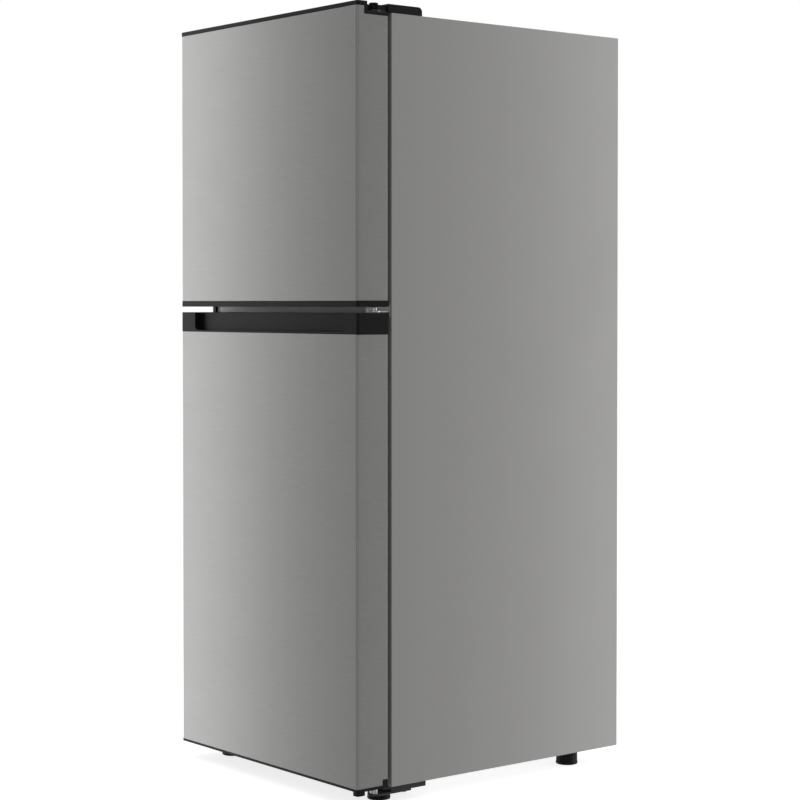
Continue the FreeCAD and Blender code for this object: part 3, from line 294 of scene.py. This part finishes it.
def brushed_finish(name, colour, low, high, grain, directional, contrast, rub=0.0):
    """Brushed metal: level streaks in colour, gloss and relief."""
    material, web, shader = start_finish(name)
    made = group_node(web, "Brushed grain", Depth=grain)
    touch = group_node(web, "Handling", Smears=1.0, Dust=0.35)
    tone = web.blend(made["Streaks"], toned(colour, 1.0 - contrast), toned(colour, 1.0 + contrast))
    tone = web.blend(web.maths("MULTIPLY", made["Cloud"], 0.12), tone, toned(colour, 0.72))
    if rub:
        edge = group_node(web, "Edge rub", Amount=rub)["Edge mask"]
        tone = web.blend(edge, tone, toned(colour, 1.5))
    tone = web.blend(web.maths("MULTIPLY", touch["Dust mask"], 0.3), tone, (0.5, 0.49, 0.46, 1.0))
    rough = web.maths("ADD", web.spread(made["Streaks"], low, high),
                      web.maths("MULTIPLY", touch["Smear mask"], 0.05))
    for key, value in (("Base Color", tone), ("Roughness", rough), ("Normal", made["Normal"]),
                       ("Metallic", 1.0), ("Anisotropic", directional)):
        web.put(shader, key, value)
    return material


def grained_finish(name, colour, low, high, pitch, depth, metallic=0.0, coat=0.0, dust=0.4, rub=0.0,
                   transmission=0.0, ior=1.46, sheen=0.0, cloud=0.1, specular=0.5):
    """Moulded plastic, paint, rubber, enamel or glass, by its grain, gloss and wear."""
    material, web, shader = start_finish(name)
    made = group_node(web, "Moulded grain", Pitch=pitch, Depth=depth)
    touch = group_node(web, "Handling", Smears=1.0, Dust=dust)
    tone = web.blend(made["Speckle"], toned(colour, 0.96), toned(colour, 1.04))
    tone = web.blend(web.maths("MULTIPLY", made["Cloud"], cloud), tone, toned(colour, 0.8))
    if rub:
        edge = group_node(web, "Edge rub", Amount=rub)["Edge mask"]
        tone = web.blend(edge, tone, toned(colour, 1.7))
    tone = web.blend(web.maths("MULTIPLY", touch["Dust mask"], 0.35), tone, (0.46, 0.45, 0.42, 1.0))
    rough = web.maths("ADD", web.spread(made["Cloud"], low, high),
                      web.maths("MULTIPLY", touch["Smear mask"], 0.04))
    for key, value in (("Base Color", tone), ("Roughness", rough), ("Normal", made["Normal"]),
                       ("Metallic", metallic), ("Coat Weight", coat), ("Transmission Weight", transmission),
                       ("IOR", ior), ("Sheen Weight", sheen), ("Specular IOR Level", specular)):
        web.put(shader, key, value)
    return material


def build_finishes(finish):
    """One node material for each of the maker's finishes."""
    liner = tuple(finish.liner_colour)
    FINISHES.update({
        "door_steel": brushed_finish("Brushed door steel", finish.steel_colour, 0.26, 0.36, 0.12, 0.25, 0.16),
        "hinge_steel": brushed_finish("Zinc plated steel", (0.62, 0.62, 0.60), 0.22, 0.40, 0.06, 0.1, 0.08,
                                      rub=0.5),
        "case_paint": grained_finish("Satin cabinet paint", finish.case_colour, 0.40, 0.50, 1400.0, 0.05,
                                     metallic=0.15, coat=0.05, dust=0.5),
        "zinc_sheet": grained_finish("Galvanised sheet", (0.46, 0.47, 0.48), 0.34, 0.52, 160.0, 0.04,
                                     metallic=0.7, cloud=0.6),
        "insulation": grained_finish("Rigid foam", (0.78, 0.62, 0.30), 0.85, 0.95, 500.0, 0.6, cloud=0.4),
        "white_liner": grained_finish("Vacuum formed liner", liner, 0.28, 0.40, 700.0, 0.04, coat=0.1,
                                      dust=0.1),
        "black_plastic": grained_finish("Black moulded plastic", finish.cap_colour, 0.32, 0.42, 2600.0, 0.10,
                                        specular=0.16),
        "dark_rubber": grained_finish("Gasket rubber", finish.seal_colour, 0.55, 0.7, 1800.0, 0.12,
                                      sheen=0.1),
        "clear_plastic": grained_finish("Clear styrene", (0.86, 0.93, 0.96), 0.04, 0.10, 300.0, 0.01,
                                        transmission=0.9, ior=1.49, dust=0.05, cloud=0.05),
        "shelf_glass": grained_finish("Tempered glass", (0.86, 0.95, 0.92), 0.01, 0.03, 60.0, 0.003,
                                      transmission=1.0, ior=1.52, dust=0.03, cloud=0.03),
        "compressor_paint": grained_finish("Black enamel", (0.012, 0.012, 0.013), 0.22, 0.36, 420.0, 0.12,
                                           coat=0.3, dust=0.9, rub=0.2),
        "copper": brushed_finish("Drawn copper", (0.70, 0.33, 0.20), 0.24, 0.42, 0.05, 0.1, 0.15, rub=0.3),
        "coil_metal": brushed_finish("Mill aluminium", (0.72, 0.73, 0.74), 0.30, 0.5, 0.08, 0.1, 0.1),
        "white_trim": grained_finish("Shelf trim plastic", toned(liner, 0.98), 0.2, 0.3, 900.0, 0.03,
                                     coat=0.2, dust=0.1),
    })


def slot_of(node):
    for entry in frame["record"]["subparts"]:
        if entry["node"] == node:
            return entry["material_slot"]
    raise RuntimeError("no finish for " + node)


def dress(piece, finish):
    piece.data.materials.clear()
    piece.data.materials.append(FINISHES[finish])
    return piece


# ---------------------------------------------------------------- mesh helpers

def piece_from(bm, name, body, finish, smooth=35.0):
    """A named piece that rides on a body, from a finished bmesh."""
    mesh = bpy.data.meshes.new(name)
    bm.normal_update()
    bm.to_mesh(mesh)
    bm.free()
    piece = bpy.data.objects.new(name, mesh)
    bpy.context.scene.collection.objects.link(piece)
    shade(piece, smooth)
    dress(piece, finish)
    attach(piece, body)
    return piece


def shade(piece, angle):
    mesh = piece.data
    mesh.shade_smooth()
    bm = bmesh.new()
    bm.from_mesh(mesh)
    for edge in bm.edges:
        if len(edge.link_faces) == 2 and edge.calc_face_angle(0.0) > math.radians(angle):
            edge.smooth = False
    bm.to_mesh(mesh)
    bm.free()


def soften(node, radius, finish=None, segments=2, limit=32.0):
    """A copy of a CAD node with its sharp edges rounded, shown in its place."""
    source = frame["nodes"][node]
    bm = bmesh.new()
    bm.from_mesh(source.data)
    bmesh.ops.remove_doubles(bm, verts=bm.verts, dist=1e-6)
    bmesh.ops.dissolve_limit(bm, angle_limit=math.radians(0.4), verts=bm.verts, edges=bm.edges,
                             delimit={"NORMAL"})
    mesh = bpy.data.meshes.new(node + "_finished")
    bm.to_mesh(mesh)
    bm.free()
    mesh.shade_smooth()
    piece = bpy.data.objects.new(node + "_finished", mesh)
    bpy.context.scene.collection.objects.link(piece)
    bevel = piece.modifiers.new("edges", "BEVEL")
    bevel.width, bevel.segments, bevel.limit_method = radius, segments, "ANGLE"
    bevel.angle_limit, bevel.use_clamp_overlap = math.radians(limit), True
    level = piece.modifiers.new("normals", "WEIGHTED_NORMAL")
    level.mode, level.weight = "FACE_AREA", 100
    bpy.context.view_layer.update()
    made = piece.evaluated_get(bpy.context.evaluated_depsgraph_get())
    rounded = bpy.data.meshes.new_from_object(made)
    piece.modifiers.clear()
    piece.data = rounded
    dress(piece, finish or slot_of(node))
    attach(piece, source["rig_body"])
    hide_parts(node)
    return piece


def second_finish(piece, finish, chosen):
    """Gives another finish to the faces whose middle is chosen."""
    piece.data.materials.append(FINISHES[finish])
    for face in piece.data.polygons:
        if chosen(face.center):
            face.material_index = 1


def swept_ring(profile, low, high, corner, plane_y, steps=6):
    """A closed frame in an XZ rectangle: profile points are (outwards, forwards) from the path."""
    path = []
    for sx, sz, start in ((1, 1, 0.0), (-1, 1, 90.0), (-1, -1, 180.0), (1, -1, 270.0)):
        side = high[0] if sx > 0 else low[0]
        level = high[1] if sz > 0 else low[1]
        centre = Vector((side - sx * corner, level - sz * corner))
        for step in range(steps + 1):
            angle = math.radians(start + 90.0 * step / steps)
            out = Vector((math.cos(angle), math.sin(angle)))
            path.append((centre + out * corner, out))
    bm = bmesh.new()
    rings = [[bm.verts.new((p.x + o.x * u, plane_y + w, p.y + o.y * u)) for u, w in profile]
             for p, o in path]
    for index, ring in enumerate(rings):
        after = rings[(index + 1) % len(rings)]
        for k in range(len(profile)):
            n = (k + 1) % len(profile)
            bm.faces.new((ring[k], ring[n], after[n], after[k]))
    bmesh.ops.recalc_face_normals(bm, faces=bm.faces)
    return bm


def lathe(bm, centre, axis, outline, around=40, ripple=None):
    """Turns an outline of (radius, height) about an axis, with optional ribs around it."""
    turn = Vector((0, 0, 1)).rotation_difference(Vector(axis)).to_matrix()
    rings = []
    for radius, height, ribbed in outline:
        ring = []
        for k in range(around):
            angle = 2 * math.pi * k / around
            reach = radius - (ripple(angle) if (ripple and ribbed) else 0.0)
            ring.append(bm.verts.new(Vector(centre) + turn @ Vector((reach * math.cos(angle),
                                                                     reach * math.sin(angle), height))))
        rings.append(ring)
    for first, second in zip(rings, rings[1:]):
        for k in range(around):
            n = (k + 1) % around
            bm.faces.new((first[k], first[n], second[n], second[k]))
    bm.faces.new(list(reversed(rings[0])))
    bm.faces.new(rings[-1])
    return bm


def block(bm, low, high, radius=0.0, segments=2):
    """A rounded block added to a bmesh."""
    made = bmesh.ops.create_cube(bm, size=1.0)["verts"]
    centre = (Vector(low) + Vector(high)) / 2
    span = Vector(high) - Vector(low)
    for vert in made:
        vert.co = centre + Vector((vert.co.x * span.x, vert.co.y * span.y, vert.co.z * span.z))
    if radius:
        edges = list({edge for vert in made for edge in vert.link_edges})
        bmesh.ops.bevel(bm, geom=edges, offset=radius, segments=segments, profile=0.5, affect="EDGES")
    return bm


def tube_piece(name, body, finish, points, radius, bend):
    """A smooth bent tube through points, with rounded corners."""
    curve = bpy.data.curves.new(name, "CURVE")
    curve.dimensions, curve.bevel_depth, curve.bevel_resolution, curve.use_fill_caps = "3D", radius, 4, True
    spots = []
    places = [Vector(p) for p in points]
    for index, place in enumerate(places):
        if 0 < index < len(places) - 1:
            back = (places[index - 1] - place).normalized() * bend
            ahead = (places[index + 1] - place).normalized() * bend
            for step in range(6):
                t = step / 5
                spots.append(place + back * (1 - t) ** 2 + ahead * t ** 2)
        else:
            spots.append(place)
    line = curve.splines.new("POLY")
    line.points.add(len(spots) - 1)
    for point, spot in zip(line.points, spots):
        point.co = (*spot, 1.0)
    shell = bpy.data.objects.new(name + "_line", curve)
    bpy.context.scene.collection.objects.link(shell)
    bpy.context.view_layer.update()
    mesh = bpy.data.meshes.new_from_object(shell.evaluated_get(bpy.context.evaluated_depsgraph_get()))
    bpy.data.objects.remove(shell)
    piece = bpy.data.objects.new(name, mesh)
    bpy.context.scene.collection.objects.link(piece)
    piece.data.shade_smooth()
    dress(piece, finish)
    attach(piece, body)
    return piece


def joint_place(name):
    return next(Vector(joint["pos_m"]) for joint in frame["joints"] if joint["name"] == name)


def middle(node):
    low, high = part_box(node)
    return (Vector(low) + Vector(high)) / 2


# ---------------------------------------------------------------- operators

class PieceOperator(bpy.types.Operator):
    """Base for the refrigerator's building steps."""
    bl_options = {"REGISTER", "UNDO"}


class FRIDGE_OT_finishes(PieceOperator):
    """Build the shared grain, dust and wear groups, and every finish"""
    bl_idname = "fridge.finishes"
    bl_label = "Finishes"

    def execute(self, context):
        build_finishes(context.scene.fridge_finish)
        for name, node in frame["nodes"].items():
            dress(node, slot_of(name))
        return {"FINISHED"}


class FRIDGE_OT_door_skins(PieceOperator):
    """Brushed steel skins of both doors"""
    bl_idname = "fridge.door_skins"
    bl_label = "Door skins"

    def execute(self, context):
        for node in ("freezer_door_skin", "fridge_door_skin"):
            soften(node, context.scene.fridge_finish.sheet_radius)
        return {"FINISHED"}


class FRIDGE_OT_door_caps(PieceOperator):
    """Black end caps with the grip recess, the hinge well and the finger groove"""
    bl_idname = "fridge.door_caps"
    bl_label = "Door end caps"

    def execute(self, context):
        for node in ("freezer_door_top_cap", "freezer_door_bottom_cap", "fridge_door_top_cap",
                     "fridge_door_bottom_cap"):
            soften(node, context.scene.fridge_finish.edge_radius)
        return {"FINISHED"}


class FRIDGE_OT_gaskets(PieceOperator):
    """Folded magnetic gaskets around both doors"""
    bl_idname = "fridge.gaskets"
    bl_label = "Door gaskets"

    def execute(self, context):
        folds = context.scene.fridge_detail.seal_ribs
        for node, body in (("freezer_door_gasket", "freezer_door"), ("fridge_door_gasket", "fridge_door")):
            low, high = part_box(node)
            thick, width = high[1] - low[1], 0.018
            profile = [(0.0, 0.0005), (0.0, thick * 0.35), (-0.0012, thick * 0.5), (0.0, thick * 0.65),
                       (0.0, thick)]
            for fold in range(folds):
                u = -width * (0.15 + 0.8 * fold / folds)
                profile += [(u, thick), (u - width * 0.1, thick - 0.0014), (u - width * 0.2, thick)]
            profile += [(-width, thick), (-width, thick * 0.6), (-width + 0.002, thick * 0.4),
                        (-width, 0.0005)]
            bm = swept_ring(profile, (low[0], low[2]), (high[0], high[2]), 0.005, low[1])
            piece = piece_from(bm, node + "_folded", body, "dark_rubber", smooth=50.0)
            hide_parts(node)
        return {"FINISHED"}


class FRIDGE_OT_cabinet(PieceOperator):
    """Painted cabinet wrap, rails, base sheets and the beaded back panel"""
    bl_idname = "fridge.cabinet"
    bl_label = "Cabinet shell"

    def execute(self, context):
        finish, detail = context.scene.fridge_finish, context.scene.fridge_detail
        # front_cross_rails take the lighter galvanised finish so the shaded gap between the doors reads
        # lighter: painted light standing in for light that doesn't reach the rails
        for node, paint in (("cabinet_wrap", "case_paint"), ("front_cross_rails", "zinc_sheet"),
                            ("front_base_rail", "compressor_paint"), ("bottom_panel", "zinc_sheet"),
                            ("compressor_base_plate", "zinc_sheet"), ("rear_access_cover", "zinc_sheet")):
            soften(node, finish.sheet_radius, paint)
        soften("hinge_hole_plug", finish.edge_radius)
        low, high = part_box("back_panel")
        face = high[1] - detail.bead_height
        half_bead, bead_end = 0.012, 0.06
        bm = bmesh.new()
        block(bm, (low[0], low[1], low[2]), (high[0], face, high[2]), 0.0002)
        for index in range(detail.panel_ribs):
            x = low[0] + (high[0] - low[0]) * (index + 1) / (detail.panel_ribs + 1)
            block(bm, (x - half_bead, face - 0.0002, low[2] + bead_end),
                  (x + half_bead, high[1], high[2] - bead_end), 0.0004, 3)
        piece = piece_from(bm, "back_panel_beaded", "cabinet", "zinc_sheet")
        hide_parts("back_panel")
        return {"FINISHED"}


class FRIDGE_OT_hinges(PieceOperator):
    """Hinge brackets, their cover, and the bolts"""
    bl_idname = "fridge.hinges"
    bl_label = "Hinges"

    def execute(self, context):
        soften("top_hinge_bracket", 0.0005, "compressor_paint")
        soften("middle_hinge", 0.0005)
        bracket = soften("bottom_hinge", 0.0005, "compressor_paint")
        pin = joint_place("fridge_door_hinge")
        plate_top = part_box("bottom_hinge")[0][2] + 0.0031
        reach = 0.008

        def on_pin(spot):
            return spot.z > plate_top and (spot - pin).xy.length < reach

        second_finish(bracket, "hinge_steel", on_pin)
        soften("top_hinge_cover", context.scene.fridge_finish.edge_radius)
        soften("hinge_bolts", 0.0007, segments=3)
        return {"FINISHED"}


def foot_outline(low, high, radius):
    tall = high - low
    return [(radius - 0.0022, 0.0, False), (radius - 0.0006, 0.0006, False), (radius, 0.0022, False),
            (radius, 0.0042, False), (radius - 0.0006, 0.005, False), (radius - 0.0006, 0.0062, True),
            (radius - 0.0006, tall - 0.0032, True), (radius - 0.0010, tall - 0.0020, False),
            (radius - 0.0012, tall - 0.0006, False), (radius - 0.0026, tall, False)]


class FRIDGE_OT_feet(PieceOperator):
    """Ribbed levelling feet in front and ribbed fixed feet behind"""
    bl_idname = "fridge.feet"
    bl_label = "Feet"

    def execute(self, context):
        ribs = context.scene.fridge_detail.foot_ribs

        def ripple(angle):
            return 0.0007 * (0.5 + 0.5 * math.cos(ribs * angle))

        for side in ("left", "right"):
            node = "levelling_foot_" + side
            low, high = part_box(node)
            centre = middle(node)
            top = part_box("front_base_rail")[0][2] - 0.001
            bm = bmesh.new()
            lathe(bm, (centre.x, centre.y, low[2]), (0, 0, 1),
                  foot_outline(low[2], top, (high[0] - low[0]) / 2), ribs * 6, ripple)
            threads = [(0.0046 + 0.0004 * (k % 2), 0.0005 * k, False) for k in range(36)]
            lathe(bm, (centre.x, centre.y, top - 0.0002), (0, 0, 1), threads, 32)
            piece = piece_from(bm, node + "_ribbed", side + "_foot", "black_plastic")
            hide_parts(node)
        low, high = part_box("rear_feet")
        bm = bmesh.new()
        radius = (high[1] - low[1]) / 2
        for x in (low[0] + radius, high[0] - radius):
            lathe(bm, (x, (low[1] + high[1]) / 2, low[2]), (0, 0, 1), foot_outline(low[2], high[2], radius),
                  ribs * 6, ripple)
        piece = piece_from(bm, "rear_feet_ribbed", "cabinet", "black_plastic")
        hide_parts("rear_feet")
        return {"FINISHED"}


class FRIDGE_OT_liners(PieceOperator):
    """White inner walls with their front flange, air duct, evaporator cover and control housing"""
    bl_idname = "fridge.liners"
    bl_label = "Liners"

    def execute(self, context):
        for node in ("freezer_liner", "fridge_liner", "freezer_door_liner", "fridge_door_liner"):
            soften(node, 0.0006, limit=50.0)
        for node in ("evaporator_cover", "fridge_air_duct", "control_housing"):
            soften(node, context.scene.fridge_finish.edge_radius, limit=50.0)
        soften("lamp_lens", 0.0008)
        foam = soften("foam_insulation", 0.0006, limit=50.0)
        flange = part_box("foam_insulation")[0][1] + 0.001
        second_finish(foam, "white_liner", lambda spot: spot.y < flange)
        return {"FINISHED"}


class FRIDGE_OT_bins(PieceOperator):
    """Door bins, egg tray, crisper drawer and ice bin, with rounded rims"""
    bl_idname = "fridge.bins"
    bl_label = "Bins and drawers"

    def execute(self, context):
        for node in ("freezer_door_bins", "fridge_door_bins", "bottle_bin", "crisper_drawer", "ice_bin"):
            soften(node, 0.0009, limit=50.0)
        soften("egg_tray", 0.0012, "white_trim", limit=50.0)
        return {"FINISHED"}


class FRIDGE_OT_shelves(PieceOperator):
    """Glass shelves with their front trims, and the freezer's grid shelf"""
    bl_idname = "fridge.shelves"
    bl_label = "Shelves"

    def execute(self, context):
        for node in ("fridge_shelf_glass", "crisper_cover"):
            soften(node, 0.0008, segments=3)
        for node in ("fridge_shelf_trims", "freezer_shelf"):
            soften(node, 0.0010, "white_trim")
        return {"FINISHED"}


class FRIDGE_OT_ice_maker(PieceOperator):
    """Twist tray, its frame, the fan and the temperature dial"""
    bl_idname = "fridge.ice_maker"
    bl_label = "Ice tray, fan and dial"

    def execute(self, context):
        for node, size in (("ice_tray", 0.0008), ("ice_tray_frame", 0.0008), ("fan_impeller", 0.0004),
                           ("fan_motor", 0.0008), ("temperature_knob", 0.0008)):
            soften(node, size)
        return {"FINISHED"}


class FRIDGE_OT_machinery(PieceOperator):
    """Compressor with its seam, bent copper tubes, drier, relay box, power inlet box, grommets and drip tray
    """
    bl_idname = "fridge.machinery"
    bl_label = "Machinery"

    def execute(self, context):
        for node, size in (("compressor_relay_box", 0.0010), ("drip_tray", 0.0006),
                           ("power_inlet_box", 0.0010), ("compressor_grommets", 0.0015)):
            soften(node, size)
        low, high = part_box("compressor")
        centre = middle("compressor")
        radius = (high[0] - low[0]) / 2 - 0.006
        base = low[2] + 0.002
        tall = high[2] - base
        bm = bmesh.new()
        outline = []
        dome = 0.027
        for step in range(9):
            angle = math.radians(90 * step / 8)
            outline.append((radius - dome + dome * math.sin(angle), dome - dome * math.cos(angle), False))
        seam = tall * 0.56
        outline += [(radius - 0.0008, seam - 0.004, False), (radius, seam - 0.0035, False),
                    (radius, seam + 0.0035, False), (radius - 0.0008, seam + 0.004, False)]
        for step in range(9):
            angle = math.radians(90 * step / 8)
            outline.append((radius - dome - 0.001 + dome * math.cos(angle),
                            tall - dome + dome * math.sin(angle), False))
        lathe(bm, (centre.x, centre.y, base), (0, 0, 1), outline, 64)
        block(bm, (low[0], low[1], low[2]), (high[0], high[1], low[2] + 0.003), 0.0012)
        piece = piece_from(bm, "compressor_shell", "cabinet", "compressor_paint", smooth=45.0)
        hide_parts("compressor")

        drier_low, drier_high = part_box("filter_drier")
        drier = middle("filter_drier")
        bm = bmesh.new()
        span, wide = drier_high[2] - drier_low[2], (drier_high[0] - drier_low[0]) / 2
        lathe(bm, (drier.x, drier.y, drier_low[2]), (0, 0, 1),
              [(0.003, 0.0, False), (0.0036, 0.006, False), (wide * 0.8, 0.014, False), (wide, 0.020, False),
               (wide, span - 0.020, False), (wide * 0.8, span - 0.014, False), (0.003, span - 0.005, False),
               (0.002, span, False)], 32)
        piece = piece_from(bm, "filter_drier_body", "cabinet", "copper")
        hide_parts("filter_drier")

        edge = centre.x - radius
        level = low[2] + tall * 0.55
        bay_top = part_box("refrigerant_pipes")[1][2]
        foot = low[2] + 0.008
        tube = tube_piece("discharge_tube", "cabinet", "copper",
                          [(edge + 0.001, centre.y, level), (edge - 0.026, centre.y, level),
                           (edge - 0.026, centre.y, foot), (drier.x, centre.y, foot),
                           (drier.x, centre.y, drier_low[2] + 0.002)], 0.003, 0.010)
        shoulder = centre.x - radius * 0.5
        behind = centre.y + radius * 0.5
        crown = low[2] + tall + 0.002
        tube_piece("suction_tube", "cabinet", "copper",
                   [(shoulder, behind, crown - 0.014), (shoulder, behind, crown),
                    (edge - 0.034, behind, crown), (edge - 0.034, behind, bay_top)], 0.003, 0.006)
        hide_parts("refrigerant_pipes")
        tube_piece("capillary_tube", "cabinet", "copper",
                   [(drier.x, centre.y, drier_high[2] - 0.002), (drier.x, centre.y, bay_top)], 0.0014, 0.002)
        return {"FINISHED"}


class FRIDGE_OT_screws(PieceOperator):
    """Dished heads of the screws that hold the rear access cover"""
    bl_idname = "fridge.screws"
    bl_label = "Cover screws"

    def execute(self, context):
        low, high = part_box("access_cover_screws")
        bm = bmesh.new()
        for x in (low[0] + 0.004, (low[0] + high[0]) / 2, high[0] - 0.004):
            for z in (low[2] + 0.004, high[2] - 0.004):
                lathe(bm, (x, low[1], z), (0, 1, 0),
                      [(0.004, 0.0, False), (0.004, 0.0006, False), (0.0034, 0.0014, False),
                       (0.0022, 0.0019, False), (0.0015, 0.0020, False), (0.0013, 0.0012, False)], 24)
        piece = piece_from(bm, "cover_screw_heads", "cabinet", "hinge_steel")
        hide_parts("access_cover_screws")
        return {"FINISHED"}


class FRIDGE_OT_stage(PieceOperator):
    """Pale floor, studio light and camera"""
    bl_idname = "fridge.stage"
    bl_label = "Stage"

    def execute(self, context):
        stage = context.scene.fridge_stage
        bm = bmesh.new()
        bmesh.ops.create_grid(bm, x_segments=1, y_segments=1, size=14.0)
        mesh = bpy.data.meshes.new("studio_floor")
        bm.to_mesh(mesh)
        bm.free()
        floor = bpy.data.objects.new("studio_floor", mesh)
        context.scene.collection.objects.link(floor)
        material, web, shader = start_finish("Studio floor")
        place = web.scaled_place((1.0, 1.0, 1.0))
        mottled = web.noise(place, 3.0, 3.0, 0.5)
        web.put(shader, "Base Color", web.blend(mottled, (0.66, 0.66, 0.66, 1.0), (0.70, 0.70, 0.70, 1.0)))
        web.put(shader, "Roughness", 0.9)
        web.put(shader, "Specular IOR Level", 0.1)
        seen = web.add("ShaderNodeLightPath").outputs["Is Camera Ray"]
        web.put(shader, "Emission Color", web.blend(seen, (0.0, 0.0, 0.0, 1.0), (1.0, 1.0, 1.0, 1.0)))
        web.put(shader, "Emission Strength", 0.80)
        floor.data.materials.append(material)
        floor.visible_diffuse = floor.visible_glossy = floor.visible_shadow = False

        world = bpy.data.worlds.new("Studio")
        context.scene.world = world
        world.use_nodes = True
        web = Web(world.node_tree)
        seen = world.node_tree.nodes["Background"]
        seen.inputs["Color"].default_value = (1.0, 1.0, 1.0, 1.0)
        seen.inputs["Strength"].default_value = 1.0
        fill = web.add("ShaderNodeBackground", Color=(1.0, 1.0, 1.0, 1.0), Strength=0.345)
        choose = web.add("ShaderNodeMixShader")
        web.put(choose, "#0", web.add("ShaderNodeLightPath").outputs["Is Camera Ray"])
        web.put(choose, "#1", fill.outputs[0])
        web.put(choose, "#2", seen.outputs[0])
        web.put(world.node_tree.nodes["World Output"], "#0", choose.outputs[0])

        for name, place, target, size, power in (
                ("front_strip", (-0.93, -0.61, 0.70), (-0.10, -0.06, 0.70), (0.5, 6.0), stage.front_power),
                ("rear_strip", (0.80, 0.98, 0.70), (0.27, 0.20, 0.70), (0.5, 6.0), stage.rear_power),
                ("edge_strip", (2.75, -2.20, 0.70), (0.27, -0.30, 0.70), (0.2, 6.0), stage.edge_power),
                ("top_softbox", (0.2, 0.9, 3.0), (0.0, 0.3, 1.0), (1.2, 1.2), 7.0)):
            light = bpy.data.lights.new(name, "AREA")
            light.shape, light.size, light.size_y, light.energy = "RECTANGLE", size[0], size[1], power
            lamp = bpy.data.objects.new(name, light)
            aim = Vector(target) - Vector(place)
            lamp.matrix_world = Matrix.Translation(place) @ aim.to_track_quat("-Z", "Y").to_matrix().to_4x4()
            lamp.visible_camera = False
            context.scene.collection.objects.link(lamp)

        lens = bpy.data.cameras.new("Camera")
        lens.lens, lens.sensor_width, lens.shift_y = stage.focal, 36.0, stage.camera_shift
        camera = bpy.data.objects.new("Camera", lens)
        camera.location = stage.camera_place
        camera.rotation_euler = (math.pi / 2 - stage.camera_dip, 0.0, stage.camera_turn)
        context.scene.collection.objects.link(camera)
        context.scene.camera = camera
        context.scene.view_settings.view_transform = "Standard"
        return {"FINISHED"}


STEPS = (FRIDGE_OT_finishes, FRIDGE_OT_door_skins, FRIDGE_OT_door_caps, FRIDGE_OT_gaskets, FRIDGE_OT_cabinet,
         FRIDGE_OT_hinges, FRIDGE_OT_feet, FRIDGE_OT_liners, FRIDGE_OT_bins, FRIDGE_OT_shelves,
         FRIDGE_OT_ice_maker, FRIDGE_OT_machinery, FRIDGE_OT_screws, FRIDGE_OT_stage)


class FRIDGE_PT_panel(bpy.types.Panel):
    """Lists the building steps and their settings"""
    bl_label = "Refrigerator"
    bl_idname = "FRIDGE_PT_panel"
    bl_space_type = "VIEW_3D"
    bl_region_type = "UI"
    bl_category = "Refrigerator"

    def draw(self, context):
        for step in STEPS:
            self.layout.operator(step.bl_idname, text=step.bl_label)
        for name in SETTINGS:
            settings = getattr(context.scene, name)
            box = self.layout.box()
            for key in settings.__annotations__:
                box.prop(settings, key)


SETTINGS = {"fridge_finish": FinishSettings, "fridge_detail": DetailSettings, "fridge_stage": StageSettings}


def register():
    for item in (*SETTINGS.values(), *STEPS, FRIDGE_PT_panel):
        bpy.utils.register_class(item)
    for key, kind in SETTINGS.items():
        setattr(bpy.types.Scene, key, PointerProperty(type=kind))


def unregister():
    for key in SETTINGS:
        delattr(bpy.types.Scene, key)
    for item in reversed((*SETTINGS.values(), *STEPS, FRIDGE_PT_panel)):
        bpy.utils.unregister_class(item)


def main():
    register()
    for step in STEPS:
        family, name = step.bl_idname.split(".")
        getattr(getattr(bpy.ops, family), name)()


if __name__ == "__main__":
    main()
